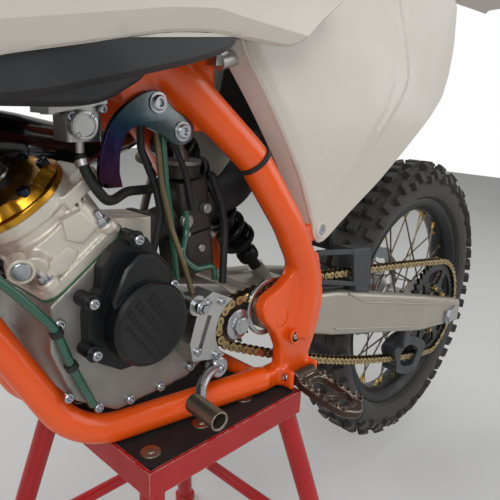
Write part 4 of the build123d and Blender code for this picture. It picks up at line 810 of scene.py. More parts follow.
piece("cylinder_gasket", [block(53, 57, 19, [(75.9, 0), (77.0, 0)])], "gasket_green")
casting = [block(30, 10, 5, [(118, 0), (128, 0.5), (129, 1.5)], -30)]
for ahead, left, tall in ((-38, 50, 96), (38, 50, 96), (-38, -50, 96), (38, -50, 96)):
    casting.append(lathe([(0, 0), (10, 0), (10, tall - 89), (8.8, tall - 87.6), (0, tall - 87.6)],
                         on_cylinder(ahead, left, 87), CYL_UP, 28))
for shape, rise in (([(44, 96), (37, 110), (24, 107), (4, 107), (-1, 93), (8, 88), (24, 88)], 3.2),
                    ([(2, 111), (-6, 129), (-27, 124), (-30, 98), (-8, 96)], 4.4)):
    outline = [on_cylinder(ahead, 0, height)[[0, 2]] for ahead, height in shape]
    pad = plate(outline, [(47, 0), (51.4, 0), (50.4 + rise, 0.9), (51.0 + rise, 2.2), (51.2 + rise, 4.0)])
    casting += [pad, mirrored(pad)]
BOSS_AT, BOSS_WAY = on_cylinder(44, 36, 117), CYL_AHEAD * 0.34 + np.array([0, 0.94, 0])
casting.append(lathe([(0, 0), (12.5, 0), (12.5, 15), (11.6, 16), (9.6, 16), (9.2, 14.6), (0, 14.6)], BOSS_AT, BOSS_WAY, 40))
piece("cylinder_casting_forms", casting, "blasted_aluminium")

head = []
TOP = 150.0
t = 2 * np.pi * np.arange(144) / 144
rings = []
for height, radius, depth in ((TOP + 0.2, 51, 0), (TOP + 0.2, 51.6, 0), (TOP + 5.5, 51.6, 0), (TOP + 6.5, 50.8, 0.4),
                              (TOP + 7, 49, 2.6), (TOP + 11, 46.5, 3.6), (TOP + 15, 44.5, 4.2), (TOP + 16.4, 42.5, 3.6),
                              (TOP + 16.6, 30, 0), (TOP + 14.5, 24, 0), (TOP + 14.5, 14, 0), (TOP + 16.5, 11, 0)):
    r = radius - depth * np.clip(np.cos(6 * t) * 1.6, 0, 1)
    rings.append([on_cylinder(a, b, height) for a, b in zip(r * np.cos(t), r * np.sin(t))])
head.append(skinned(rings))
head.append(lathe([(0, 0), (13, 0), (13, 24), (12, 26), (10.5, 26), (10.5, 20), (0, 20)], on_cylinder(30, 0, TOP + 14), CYL_UP, 36))
piece("cylinder_head_scalloped", head, "gold_anodised", replaces=["cylinder_head"])

caps = []
for k in range(6):
    a = 2 * math.pi * (k + 0.5) / 6
    caps.append(screw(on_cylinder(41 * math.cos(a), 41 * math.sin(a), TOP + 13), CYL_UP, 5.6, 7))
piece("head_screws", caps, "blue_black_steel")
cap = lathe([(0, 0), (9, 0), (9, 14), (12, 16), (12, 30), (11, 33), (0, 33)], on_cylinder(0, 0, TOP + 14), CYL_UP, 32)
piece("plug_cap", [cap], "soft_rubber")
piece("plug_ring", [lathe([(8, 0), (13, 0), (13, 3), (8, 3)], on_cylinder(0, 0, TOP + 26), CYL_UP, 36, wrap=True)], "plated_steel")
nuts = [hexagon(on_cylinder(a, b, 95.2), CYL_UP, 6.2, 7) for a in (-38, 38) for b in (-50, 50)]
nuts += [lathe([(0, 0), (3.4, 0), (3.4, 13), (2.8, 14), (0, 14)], on_cylinder(a, b, 96), CYL_UP, 16) for a in (-38, 38) for b in (-50, 50)]
nuts.append(lathe([(0, 0), (8.6, 0), (8.6, 1.6), (7.8, 2.2), (0, 2.2)], BOSS_AT + BOSS_WAY * 14.0, BOSS_WAY, 32))
piece("cylinder_nuts", nuts, "plated_steel")

# %% Head stay, fuel tap and hose clips
STAY = [(661, 390), (676, 388), (690, 381), (703, 371), (712, 361), (718, 349), (722, 337), (725, 323), (723, 308),
        (706, 306), (704, 320), (703, 333), (699, 345), (693, 353), (682, 358), (670, 355), (656, 349), (642, 340), (630, 338),
        (617, 345), (616, 357), (626, 366), (640, 373), (650, 382)]
piece("head_stay_formed", [plate(curve_2d(STAY, 4), rounded(66.3, 72.4, 1.2)),
                           plate([(698, 301), (714, 301), (716, 318), (703, 322)], rounded(50, 68, 1.5))],
      "heat_tinted_steel", replaces=["head_stay"])
stay = [screw((661, 72.2, 379), (0, 1, 0), 7.2, 5), screw((631, 72.2, 352), (0, 1, 0), 7.2, 5)]
for x, z in ((661, 379), (631, 352)):
    stay.append(lathe([(7, 72.2), (10, 72.2), (10, 73.8), (7, 73.8)], (x, 0, z), (0, 1, 0), 32, wrap=True))
for x, z in ((745, 372), (714, 378)):
    stay.append(screw((x, 60, z - 6), (0, 1, 0), 4, 4))
for x, z in ((741, 350), (727, 366)):
    stay.append(screw((x, 65, z), (0, 1, 0), 2.6, 2.6))
piece("stay_and_tap_screws", stay, "plated_steel")
tap = [lathe([(0, 0), (12.6, 0), (12.6, 1.8), (11, 2.4), (9.6, 2.4), (9.2, 1.2), (0, 1.2)], (734, 64.8, 358), (0, 1, 0), 40)]
tap += [lathe([(5.2, 0), (6.6, 0), (6.6, 6), (5.2, 6)], (731.8, 56, 321.5), (0.14, -0.35, 0.93), 24, wrap=True)]
piece("fuel_tap_cover", tap, "bare_aluminium")
clips = [lathe([(4.6, -3), (6.4, -3), (6.4, 3), (4.6, 3)], p, way, 20, wrap=True)
         for p, way in (((757, 63.2, 134), (0.5, 0, 1)), ((770, 63.2, 172), (0.4, 0, 1)))]
clips += [lathe([(5.2, -2.5), (6.4, -2.5), (6.4, 2.5), (5.2, 2.5)], (612, 19.5, 286.5), (1, 0.25, 0.06), 20, wrap=True)]
piece("hose_clips", clips, "black_plastic")

# %% Carburettor and clutch side
carb = []
lean = np.array([math.sin(math.radians(8)), 0, math.cos(math.radians(8))])
for spot, way, radius, tall in (((583, 12, 311), (0, 0, 1), 23, 5), ((574, 12, 186), -lean, 16, 8), ((598, 38, 250), (0, 1, 0), 8, 6),
                                ((570, 38, 262), (0, 1, 0), 6, 8), ((575, 37, 215), (0, 1, 0), 5, 6)):
    carb.append(lathe([(0, 0), (radius, 0), (radius, tall - 1), (radius - 1, tall), (0, tall)], spot, way, 36))
carb.append(lathe([(0, 0), (9, 0), (8, 8), (4.6, 14), (4.6, 26), (0, 26)], (583, 12, 315), (0.1, 0, 1), 24))
for x, y, z in ((556, 37, 228), (594, 37, 234), (556, -13, 228), (594, -13, 234)):
    carb.append(hexagon((x, y, z), (0, 1 if y > 0 else -1, 0), 3.4, 4))
piece("carburettor_fittings", carb, "cast_aluminium")
side = []
for x, z in ((560, 112), (610, 92), (694, 92), (735, 126), (735, 184), (698, 214), (604, 196), (560, 166)):
    side.append(screw((x, -91.6, z), (0, -1, 0), 4.8, 5))
for k in range(5):
    a = 2 * math.pi * k / 5
    side.append(screw((600 + 44 * math.cos(a), -103.6, 150 + 44 * math.sin(a)), (0, -1, 0), 4.4, 4.5))
for k in range(3):
    a = 2 * math.pi * (k + 0.3) / 3
    side.append(screw((725 + 20 * math.cos(a), -99.6, 118 + 20 * math.sin(a)), (0, -1, 0), 4.0, 4))
piece("clutch_side_screws", side, "plated_steel")
clutch = [lathe([(0, 0), (51, 0), (51, 2), (47, 5), (38, 5.4), (36, 4.4), (0, 4.4)], (600, -103.4, 150), (0, -1, 0), 72),
          lathe([(0, 0), (25, 0), (24, 4), (14, 9), (12, 9.4), (0, 9.4)], (725, -99.5, 118), (0, -1, 0), 48),
          hose([(725, -104, 120), (752, -106, 128), (768, -100, 150)], 9.5, 16)]
piece("clutch_cover_forms", clutch, "cast_aluminium")

# %% [markdown]
# ## Moulded bodywork
#
# The panels are injection moulded sheets about 3 mm thick, bent in two directions and folded
# at their edges. Each starts from its outline seen from the side. The inside of the outline is
# filled with triangles, a formula gives how far out each point stands, and the edge rolls in.

# %% Moulded sheet
def distance_to(points, line):
    """Least distance of each (x, z) to a run of straight pieces: |p - a - t (b - a)|, 0 <= t <= 1."""
    p = np.asarray(points, float)[:, None, :]
    a, b = np.asarray(line, float)[:-1][None], np.asarray(line, float)[1:][None]
    t = np.clip(np.sum((p - a) * (b - a), 2) / np.maximum(np.sum((b - a) ** 2, 2), 1e-9), 0, 1)
    return np.min(np.linalg.norm(p - a - t[..., None] * (b - a), axis=2), axis=1)


def inside_of(points, outline):
    """Whether each (x, z) is inside: an even-odd count of the edges that a ray along +x crosses."""
    x, z = np.asarray(points, float).T
    odd = np.zeros(len(x), dtype=bool)
    for (ax, az), (bx, bz) in zip(outline, np.roll(outline, -1, 0)):
        if az != bz:
            crosses = (az > z) != (bz > z)
            odd ^= crosses & (x < (bx - ax) * (z - az) / (bz - az) + ax)
    return odd


def walked_even(outline, step):
    """The outline with its points step mm apart."""
    closed = np.vstack([outline, outline[:1]])
    gone = np.concatenate([[0], np.cumsum(np.linalg.norm(np.diff(closed, axis=0), axis=1))])
    due = np.arange(0, gone[-1] - step * 0.4, step)
    return np.stack([np.interp(due, gone, closed[:, 0]), np.interp(due, gone, closed[:, 1])], 1)


def eased(outline, share=0.14, rounds=2):
    """The outline with each corner cut: a point share of the way from either end of every edge."""
    p = np.asarray(outline, dtype=float)
    for _ in range(rounds):
        q = np.roll(p, -1, 0)
        p = np.stack([p + share * (q - p), q - share * (q - p)], 1).reshape(-1, 2)
    return p


def moulded(outline, height, thick=3.0, roll=2.5, step=7.0, creases=()):
    """A sheet over the outline. height(x, z) is its outer face's y. The edge rolls in over roll
    mm as a quarter circle: y falls by r - sqrt(r^2 - (r - d)^2) at d mm from the edge."""
    edge = walked_even(np.asarray(outline, float), step)
    closed = np.vstack([edge, edge[:1]])
    low, high = edge.min(0), edge.max(0)
    grid = np.array([(x, z) for x in np.arange(low[0], high[0], step) for z in np.arange(low[1], high[1], step)])
    inner_edge = inset(edge, roll)
    along = [walked_even(np.asarray(c, float), step)[:-1] for c in creases]
    grid = grid[inside_of(grid, edge)]
    grid = grid[distance_to(grid, closed) > roll + 0.45 * step]
    for c in along:
        grid = grid[distance_to(grid, c) > 0.5 * step]
    flat = np.vstack([edge, inner_edge, grid] + along)
    n, m = len(edge), len(grid)
    ties = [(i, (i + 1) % n) for i in range(n)] + [(n + i, n + (i + 1) % n) for i in range(n)]
    start = 2 * n + m
    for c in along:
        ties += [(start + i, start + i + 1) for i in range(len(c) - 1)]
        start += len(c)
    points, _, faces, *_ = delaunay_2d_cdt([Vector(p) for p in flat], ties, [list(range(n))], 1, 1e-4)
    points = np.array([tuple(p) for p in points])
    d = np.minimum(distance_to(points, closed), roll)
    y = height(points[:, 0], points[:, 1]) - (roll - np.sqrt(np.maximum(roll ** 2 - (roll - d) ** 2, 0)))
    outer = np.stack([points[:, 0], y, points[:, 1]], 1)
    inner = outer - np.array([0, thick, 0])
    total = len(outer)
    faces = [tuple(f) for f in faces]
    count = {}
    for f in faces:
        for i, j in zip(f, f[1:] + f[:1]):
            count[(i, j)] = True
    rim = [(i, j) for i, j in count if (j, i) not in count]
    skin = faces + [tuple(total + i for i in f[::-1]) for f in faces]
    skin += [(j, i, total + i, total + j) for i, j in rim]
    return np.vstack([outer, inner]), skin


def soft_step(value, width):
    """0 to 1 over width mm about 0, with level ends: 3 s^2 - 2 s^3."""
    s = np.clip(value / width + 0.5, 0, 1)
    return s * s * (3 - 2 * s)


def side_of(x, z, line):
    """Signed distance to a run of points, positive on its left as it is walked."""
    p = np.stack([x, z], 1)
    line = np.asarray(line, float)
    sign = np.zeros(len(p))
    best = np.full(len(p), np.inf)
    for a, b in zip(line[:-1], line[1:]):
        t = np.clip(((p - a) @ (b - a)) / ((b - a) @ (b - a)), 0, 1)
        gap = np.linalg.norm(p - a - t[:, None] * (b - a), axis=1)
        cross = (b - a)[0] * (p[:, 1] - a[1]) - (b - a)[1] * (p[:, 0] - a[0])
        nearer = gap < best
        best = np.where(nearer, gap, best)
        sign = np.where(nearer, np.sign(cross), sign)
    return best * np.where(sign == 0, 1, sign)


# %% Side panels
PANEL = [(436, 212), (424, 213), (376, 241), (302, 280), (239, 320), (170, 366), (134, 398), (120, 430), (112, 475),
         (120, 548), (300, 566), (520, 540), (586, 440), (576, 424), (543, 384), (509, 340), (480, 299), (456, 250), (447, 222)]
CREASE = [(440, 246), (420, 264), (379, 299), (304, 363), (270, 404), (262, 424), (274, 452), (306, 512), (322, 560)]
FIELD = [(478, 452), (350, 452), (310, 440), (296, 415), (308, 380), (330, 358)]


def panel_height(x, z):
    """Flat number field at y = 112. Behind the crease the sheet steps in by 1.6 mm and falls away."""
    behind = side_of(x, z, CREASE)
    y = 112.0 - 1.6 * soft_step(behind - 2, 5) - 0.035 * np.clip(behind, 0, 200)
    within = side_of(x, z, FIELD)
    y -= 1.3 * soft_step(-within, 16) * soft_step(-behind - 4, 30)
    front = distance_to(np.stack([x, z], 1), [(586, 440), (576, 424), (543, 384), (509, 340), (480, 299), (456, 250)])
    return y - 4.2 * np.clip(1 - front / 11, 0, 1)


sheet = moulded(eased(PANEL), panel_height, 3.2, 2.4, 7.0, [CREASE])
lip = []
front_edge = [(588, 440), (577, 423), (543, 383), (509, 339), (480, 298), (456, 249), (447, 224)]
shape = smooth_line([(x, 0, z) for x, z in front_edge], 6)[:, [0, 2]]
side = np.gradient(shape, axis=0)
side = np.stack([-side[:, 1], side[:, 0]], 1) / np.linalg.norm(side, axis=1)[:, None]
rows = []
for y, push in ((107, -1), (98, 1), (88, 4), (82, 6)):
    rows.append(np.stack([shape[:, 0] + side[:, 0] * push, np.full(len(shape), y), shape[:, 1] + side[:, 1] * push], 1))
back = [row + np.stack([-side[:, 0] * 3, np.zeros(len(side)), -side[:, 1] * 3], 1) for row in rows]
strip = [np.vstack([front, rear[::-1]]) for front, rear in zip(rows, back)]
lip = skinned(strip)
boss = lathe([(0, -10), (11, -10), (11, 0.4), (9.6, 1.6), (7.6, 1.6), (7.2, 0), (0, 0)], (435, 110.2, 230), (0, 1, 0), 40)
both = [sheet, lip, boss]
piece("side_panel_sheets", both + [mirrored(p) for p in both], "white_polypropylene", sharp=22, replaces=["side_panels"])
head = joined([screw((435, 109.4, 230), (0, 1, 0), 6.6, 2.0)])
bolts = [head, mirrored(head)]

# %% Radiator shrouds and the tank's lower side
SHROUD = [(985, 372), (930, 374), (842, 405), (773, 419), (709, 433), (660, 438), (622, 436), (566, 434), (552, 439),
          (524, 459), (475, 492), (560, 585), (700, 606), (880, 590), (975, 560), (1008, 470)]
BAND = [(1010, 398), (940, 396), (842, 425), (773, 438), (709, 450), (664, 455), (620, 451), (560, 447), (545, 446)]


def shroud_height(x, z):
    """A bulging side, 157 at most, over a chamfered lower band that turns in by 9 mm."""
    above = side_of(x, z, BAND[::-1])
    y = 156.6 - 9.0 * np.clip(-above / 18, 0, 1) ** 1.1
    ridge = distance_to(np.stack([x, z], 1), [(860, 440), (800, 446), (755, 436), (700, 452), (560, 520)])
    return y - 3.4 * soft_step(ridge - 46, 70) * np.clip(above / 30, 0, 1)


sheet = moulded(eased(SHROUD), shroud_height, 3.0, 2.2, 8.0, [BAND[::-1]])
louvre = []
for k in range(3):
    x = 950 - 26 * k
    louvre.append(plate([(x, 420), (x + 9, 420), (x - 14, 545), (x - 23, 545)], [(118, 1), (119, 0), (151, 0), (152, 1)]))
stay = plate([(905, 470), (925, 470), (925, 490), (905, 490)], [(128, 0), (153, 0)])
both = [sheet, stay] + louvre
piece("shroud_sheets", both + [mirrored(p) for p in both], "white_polypropylene", sharp=22, replaces=["shrouds"])
for x, z in ((930, 480), (640, 500)):
    head = joined([lathe([(0, 0), (9, 0), (9, 1), (8, 1.8), (0, 1.8)], (x, 153.2, z), (0, 1, 0), 28),
                   screw((x, 154.6, z), (0, 1, 0), 5.4, 2.4)])
    bolts += [head, mirrored(head)]
piece("bodywork_screws", bolts, "plated_steel")

TANK_SIDE = [(628, 433), (640, 424), (660, 417), (690, 409), (720, 402), (742, 397), (800, 383), (838, 378),
             (866, 392), (872, 440), (858, 520), (836, 560), (700, 590), (616, 560), (610, 480)]


def tank_height(x, z):
    """A flat side at y = 146 near its rear nose, which turns under towards the front."""
    forward = side_of(x, z, [(775, 424), (745, 402), (735, 392)])
    return 146.0 - 7.0 * soft_step(forward - 14, 40)


outer = moulded(eased(TANK_SIDE, 0.1, 1), tank_height, 42.0, 5.0, 9.0)
piece("tank_lower_sides", [outer, mirrored(outer)], "tank_polyethylene", sharp=30)
BELLY = [(848, 378), (832, 374), (795, 373.6), (757, 374), (735, 377), (720, 382.5), (706, 390), (690, 400), (684, 414),
         (690, 436), (760, 446), (840, 446), (856, 420), (856, 392)]
turn = np.linspace(0, np.pi / 2, 7)
belly = plate(curve_2d(BELLY, 4), [(38, 0), (86, 0)] + [(86 + 12 * math.sin(a), 12 * (1 - math.cos(a))) for a in turn[1:]])
piece("tank_belly", [belly, mirrored(belly)], "tank_polyethylene", sharp=30)

# %% [markdown]
# ## Controls at the feet
#
# The pegs are cast loops with two rows of ground teeth, the gear lever's toe piece is a
# knurled sleeve, and the pivot has its polished collar and a screw whose recess is painted shade.

# %% Footpegs
def placed(part, foot, lift, turn=90.0):
    """A part drawn along +x, tilted up by lift degrees and turned about z, moved to foot."""
    points, faces = part
    a, b = math.radians(lift), math.radians(turn)
    tilt = np.array([[math.cos(a), 0, -math.sin(a)], [0, 1, 0], [math.sin(a), 0, math.cos(a)]])
    spin = np.array([[math.cos(b), -math.sin(b), 0], [math.sin(b), math.cos(b), 0], [0, 0, 1]])
    return points @ tilt.T @ spin.T + np.array(foot, float), faces


def bar_between(outline, inner, low, high, edge=0.8):
    """A loop casting: outline less window, low to high, with its edges broken by edge mm."""
    out, win = curve_2d(outline, 6), curve_2d(inner, 6)
    n = 96
    out, win = walked_even(out, 1.0), walked_even(win, 1.0)
    out = out[np.linspace(0, len(out), n, endpoint=False).astype(int)]
    win = win[np.linspace(0, len(win), n, endpoint=False).astype(int)]
    rings = []
    for ring, push, z in ((out, edge, low), (out, 0, low + edge), (out, 0, high - edge), (out, edge, high),
                          (win, -edge, high), (win, 0, high - edge), (win, 0, low + edge), (win, -edge, low)):
        xy = inset(ring, push)
        rings.append(np.stack([xy[:, 0], xy[:, 1], np.full(n, float(z))], 1))
    return skinned(rings, wrap=True)


PEG_OUT = [(-2, -17), (8, -22), (38, -23), (66, -20), (80, -10), (85, 0), (80, 10), (66, 20), (38, 23), (8, 22), (-2, 17), (-4, 0)]
PEG_IN = [(12, -12), (22, -16), (40, -17), (60, -14), (71, -7), (74, 0), (71, 7), (60, 14), (40, 17), (22, 16), (12, 12), (9, 0)]
peg = [bar_between(PEG_OUT, PEG_IN, -2, 9)]
for side in (-1, 1):
    for k in range(7):
        x = 6 + 10 * k
        y = side * (19.6 - 0.25 * max(0, k - 3) ** 2)
        peg.append(skinned([[(x, y - 2.4, 8), (x + 8.4, y - 2.4, 8), (x + 7.4, y - 1.0, 15.4), (x + 6.6, y - 1.0, 15.4)],
                            [(x, y + 2.4, 8), (x + 8.4, y + 2.4, 8), (x + 7.4, y + 1.0, 15.4), (x + 6.6, y + 1.0, 15.4)]]))
web = [(30, -17), (36, -17), (56, 14), (50, 16)]
peg.append(skinned([[(x, y, z) for x, y in web] for z in (0, 6)]))
peg.append(lathe([(0, -19), (8, -19), (9, -18), (9, 18), (8, 19), (0, 19)], (-6, 0, 5), (0, 1, 0), 32))
left = [placed(part, (464.5, 125, 36), -10) for part in [joined(peg)]]
piece("footpegs_toothed", left + [mirrored(left[0])], "worn_cast", sharp=30, replaces=["footpegs"])

# %% Gear lever
lever = [hose([(588, 84, 84), (600, 92, 86.5), (616, 99, 86.5), (630, 107, 82), (640, 116, 76.5), (646, 122, 73)],
              [6.8, 6.6, 6.2, 6.2, 6.4, 7.0], 18, 8, 0.8),
         lathe([(0, 78), (11, 78), (12.4, 79.4), (12.4, 91), (11, 92.4), (0, 92.4)], (588, 0, 84), (0, 1, 0), 40),
         lathe([(0, 0), (8, 0), (10, 2), (10, 4), (0, 4)], (646, 110, 72), (0.08, 1, 0), 32)]
lever.append(skinned([[(577, y, 80), (577, y, 88), (584, y, 90), (584, y, 78)] for y in (79.5, 91)]))
piece("gear_lever_arm", lever, "plated_steel", replaces=["gear_lever"])
rows, around, rings = 22, 24, []
axis, u, v = square_to((4, 46, 0))
for k in range(rows * 2 + 1):
    t = 2 * np.pi * (np.arange(around * 2) / (around * 2))
    bump = 0.45 * ((np.arange(around * 2) + k) % 2)
    r = 10.2 + bump * (0 < k < rows * 2)
    rings.append(np.array([646, 112, 72]) + axis * (46.2 * k / (rows * 2)) + (r * np.cos(t))[:, None] * u + (r * np.sin(t))[:, None] * v)
for depth in (45.4, 6.0):
    t = 2 * np.pi * (np.arange(around * 2) / (around * 2))
    rings.append(np.array([646, 112, 72]) + axis * depth + (8.3 * np.cos(t))[:, None] * u + (8.3 * np.sin(t))[:, None] * v)
piece("gear_lever_toe", [skinned(rings)], "knurled_nickel", sharp=20)

# %% Pivot, pedal and stand fittings
PIVOT = np.array([498.0, 127.0])
ring = [lathe([(31.5, 0), (37, 0), (37, 3), (35.8, 4), (31.5, 4)], (503, y, 137), (0, 1, 0), 64, wrap=True)
        for y in (83.6, -87.6)]
ring.append(lathe([(0, -88), (9.9, -88), (9.9, 98), (0, 98)], (PIVOT[0], 0, PIVOT[1]), (0, 1, 0), 32))
ring.append(hexagon((PIVOT[0], -106.0, PIVOT[1]), (0, -1, 0), 13, 9))
LUG = skin_at(478, 98)
ring.append(screw((478, LUG + 0.3, 98), (0, 1, 0), 4.4, 1.1))
ring += [screw((492.4, y, 46), (1, 0, 0), 4.6, 2.6) for y in (113.0, -113.0)]
piece("pivot_collars_and_bolt", ring, "plated_steel", replaces=["pivot_bolt"])
lip = lathe([(7.4, -2), (10.2, -2), (10.0, 0.8), (9.2, 1.3), (8.2, 1.3), (7.4, 0.8)], (478, LUG, 98), (0, 1, 0), 40, wrap=True)
# Painted shade: a near-black disc under the lug's screw stands for the shade in its recess
recess = lathe([(0, -1), (7.6, -1), (7.6, 0.3), (0, 0.3)], (478, LUG, 98), (0, 1, 0), 40)
piece("pivot_recess_shade", [recess], "painted_slot_shade")
flush = lathe([(0, -6), (12, -6), (14, -0.6), (12.4, 0.15), (8, 0.5), (0, 0.6)], (PIVOT[0], skin_at(516, 127), PIVOT[1]), (0, 1, 0), 48)
piece("pivot_lip", [lip, flush], "powder_coat_orange")
print("left lug at y", round(LUG, 1))
pedal = [hose([(505, -112, 67), (540, -115, 58), (600, -118, 55), (640, -124, 62), (672, -132, 76)], [8, 7, 6, 6, 6], 16, 6, 0.7),
         lathe([(0, 0), (11, 0), (11, 14), (10, 15.4), (0, 15.4)], (505, -106.4, 67), (0, -1, 0), 36)]
tread = []
for k in range(5):
    x = 669.5 + 5.2 * k
    tread.append(skinned([[(x, y, 82), (x + 3.4, y, 82), (x + 2.4, y, 87.4), (x + 1.0, y, 87.4)] for y in (-148, -116)]))
pedal += tread + [skinned([[(667, y, 76), (693.5, y, 76), (693.5, y, 82.5), (667, y, 82.5)] for y in (-149, -115)])]
piece("brake_pedal_forms", pedal, "plated_steel", replaces=["brake_pedal"])
kick = [hose([(560, -112, 150), (556, -116, 178), (546, -118, 220), (528, -122, 268), (516, -124, 292)],
             [9, 8, 7, 7, 8], 18, 8, 0.75),
        lathe([(0, 0), (17, 0), (17, 15), (15, 17), (0, 17)], (560, -104.4, 150), (0, -1, 0), 40),
        hose([(516, -116, 291), (516, -140, 295), (516, -164, 298)], [7.4, 8.2, 8.6], 20, 4),
        screw((560, -121, 150), (0, -1, 0), 7, 4)]
for k in range(9):
    kick.append(lathe([(7.6, 0), (8.9, 0), (8.9, 1.6), (7.6, 1.6)], (516, -126 - 4.2 * k, 292.9 + 0.55 * k), (0, -0.99, 0.13), 24, wrap=True))
piece("kick_starter_forms", kick, "worn_steel", replaces=["kick_starter"])

# %% Stand: mat washers
MAT_TOP = 27.0
mat = []
for x, y in ((693, 100), (620, 96), (545, 90), (693, -40), (620, -52), (545, -46)):
    mat.append(lathe([(3.4, 0), (11, 0), (10.6, 1.1), (3.4, 1.3)], (x, y, MAT_TOP), (0, 0, 1), 40, wrap=True))
    mat.append(lathe([(0, 0.2), (4.6, 0.2), (4.2, 2.0), (2.2, 2.9), (0, 3.0)], (x, y, MAT_TOP), (0, 0, 1), 24))
piece("mat_washers", mat, "worn_nickel")

# %% [markdown]
# ## Castings and bent pipes
#
# Sand and die castings have no sharp inner corners, and the expansion chamber is hydroformed.
# The same rebuilding as for the frame gives each its fillets, with a grid fine enough for it.

# %% Rebuilt castings
relaxed("crankcase", "crankcase_skin", "cast_aluminium", 2.2, 4)
relaxed("clutch_cover", "clutch_cover_skin", "cast_aluminium", 1.8, 4)
relaxed("cylinder", "cylinder_skin", "blasted_aluminium", 1.6, 3)
relaxed("exhaust_pipe", "exhaust_skin", "black_lacquer", 2.8, 12)
relaxed("airbox", "airbox_skin", "black_plastic", 3.0, 8)
relaxed("triple_clamps", "clamps_skin", "bare_aluminium", 2.0, 3, "steering")
relaxed("control_levers", "levers_skin", "black_metal", 1.3, 5, "steering")
relaxed("front_caliper", "front_caliper_skin", "gold_anodised", 1.6, 4, "steering")
relaxed("rear_caliper", "rear_caliper_skin", "gold_anodised", 1.6, 4)

# %% [markdown]
# ## Spring, silencer and radiators
#
# The shock absorber's spring is a helix of square-ended wire between two collars. The silencer
# is an oval can with a riveted cap at each end, and each radiator has a louvred guard.

# %% Spring
low, high = np.array([395, -38, 140.0]), np.array([585, -38, 362.0])
way = (high - low) / np.linalg.norm(high - low)
high = high - way * 13.3
_, u, v = square_to(way)
turns, spring = 6.5, []
for t in np.linspace(0, 1, 131):
    rise = 74 + 150 * np.clip((t - 0.06) / 0.88, 0, 1)
    a = 2 * np.pi * turns * t
    spring.append(low + way * rise + 20.5 * (np.cos(a) * u + np.sin(a) * v))
piece("shock_spring", [hose(spring, 5.0, 12, 1)], "black_metal")
body = [lathe([(0, 0), (9, 0), (9, 44), (0, 44)], low, way, 32),
        lathe([(0, 20), (15, 20), (16, 24), (16, 34), (12, 40), (0, 40)], low, way, 32),
        lathe([(0, 60), (26, 60), (27, 61.5), (27, 67), (24, 69), (0, 69)], low, way, 48),
        lathe([(0, 69), (15.2, 69), (15.2, 228), (0, 228)], low, way, 40),
        lathe([(0, 228), (24, 228), (27, 230), (27, 238), (25, 240), (25, 243), (27, 245), (27, 258), (24, 262),
               (12, 264), (9, 268), (0, 268)], low, way, 48)]
body.append(lathe([(0, 262), (9, 262), (9, 279), (0, 279)], low, way, 32))
piece("shock_body", body, "black_metal", replaces=["rear_shock"])

# %% Silencer
start, end = np.array([478, -148, 369.0]), np.array([60, -148, 520.0])
along = (end - start) / np.linalg.norm(end - start)
length = np.linalg.norm(end - start)
across, over = np.array([0, 1.0, 0]), np.cross(along, np.array([0, 1.0, 0]))


def oval(stations, sides=56):
    """Rings of an ellipse square to the silencer's axis: 32 and 40 mm half axes times a share."""
    t = 2 * np.pi * np.arange(sides) / sides
    return skinned([start + along * s + share * (32 * np.cos(t)[:, None] * across + 40 * np.sin(t)[:, None] * over)
                    for s, share in stations])


piece("silencer_can", [oval([(26, 0.975), (length - 30, 0.975)])], "bare_aluminium", replaces=["silencer"])
caps = [oval([(0, 0.5), (4, 0.62), (16, 0.9), (22, 0.99), (34, 0.99), (35, 0.97)]),
        oval([(length - 38, 0.97), (length - 37, 0.99), (length - 10, 0.99), (length - 2, 0.9), (length, 0.8)])]
caps.append(lathe([(11, length - 2), (16, length - 2), (16, length + 25), (15, length + 26), (11, length + 26)], start, along, 36, wrap=True))
piece("silencer_caps", caps, "black_metal")
strap = [oval([(168, 0.98), (168, 1.01), (190, 1.01), (190, 0.98)])]
rivets = []
for s in (28, length - 20):
    for k in range(8):
        a = 2 * math.pi * (k + 0.5) / 8
        normal = math.cos(a) / 32 * across + math.sin(a) / 40 * over
        spot = start + along * s + 0.985 * (32 * math.cos(a) * across + 40 * math.sin(a) * over)
        rivets.append(lathe([(0, 0), (3, 0), (2.4, 1.2), (1, 1.7), (0, 1.7)], spot, normal, 14))
piece("silencer_strap", strap + [lathe([(0, 0), (7, 0), (7, 22), (0, 22)], start + along * 179 + across * 30, across, 24)], "black_metal")
piece("silencer_rivets", rivets, "plated_steel")

# %% Radiators and their guards
foot, head_ = np.array([944, 384.0]), np.array([884, 566.0])
slats, core = [], []
normal = np.array([head_[1] - foot[1], foot[0] - head_[0]]) / np.linalg.norm(head_ - foot)
for k in range(14):
    p = foot + (head_ - foot) * (0.06 + 0.88 * k / 13)
    a, b = p + normal * 1.2, p + normal * 9 + (foot - head_) / np.linalg.norm(foot - head_) * 6
    c, d = b + (head_ - foot) / np.linalg.norm(head_ - foot) * 1.6, a + (head_ - foot) / np.linalg.norm(head_ - foot) * 1.6
    slats.append(skinned([[(q[0], y, q[1]) for q in (a, b, c, d)] for y in (42, 126)]))
for y in (40, 124):
    edge = [foot + normal * 0.4, foot + normal * 9.6, head_ + normal * 9.6, head_ + normal * 0.4]
    slats.append(skinned([[(q[0], w, q[1]) for q in edge] for w in (y, y + 4)]))
piece("radiator_guards", slats + [mirrored(s) for s in slats], "black_plastic")
for k in range(60):
    p = foot + (head_ - foot) * (0.13 + 0.74 * k / 59)
    back_ = p - normal * 26
    side_ = (head_ - foot) / np.linalg.norm(head_ - foot) * 0.35
    core.append(skinned([[(q[0], y, q[1]) for q in (p - side_, back_ - side_, back_ + side_, p + side_)] for y in (44, 130.2)]))
piece("radiator_fins", core + [mirrored(c) for c in core], "bare_aluminium")

# %% [markdown]
# ## Fenders, fork and bar
#
# The fenders are thin crowned sheets whose edges turn down. The fork gets its seals and caps,
# and the grips their rings.

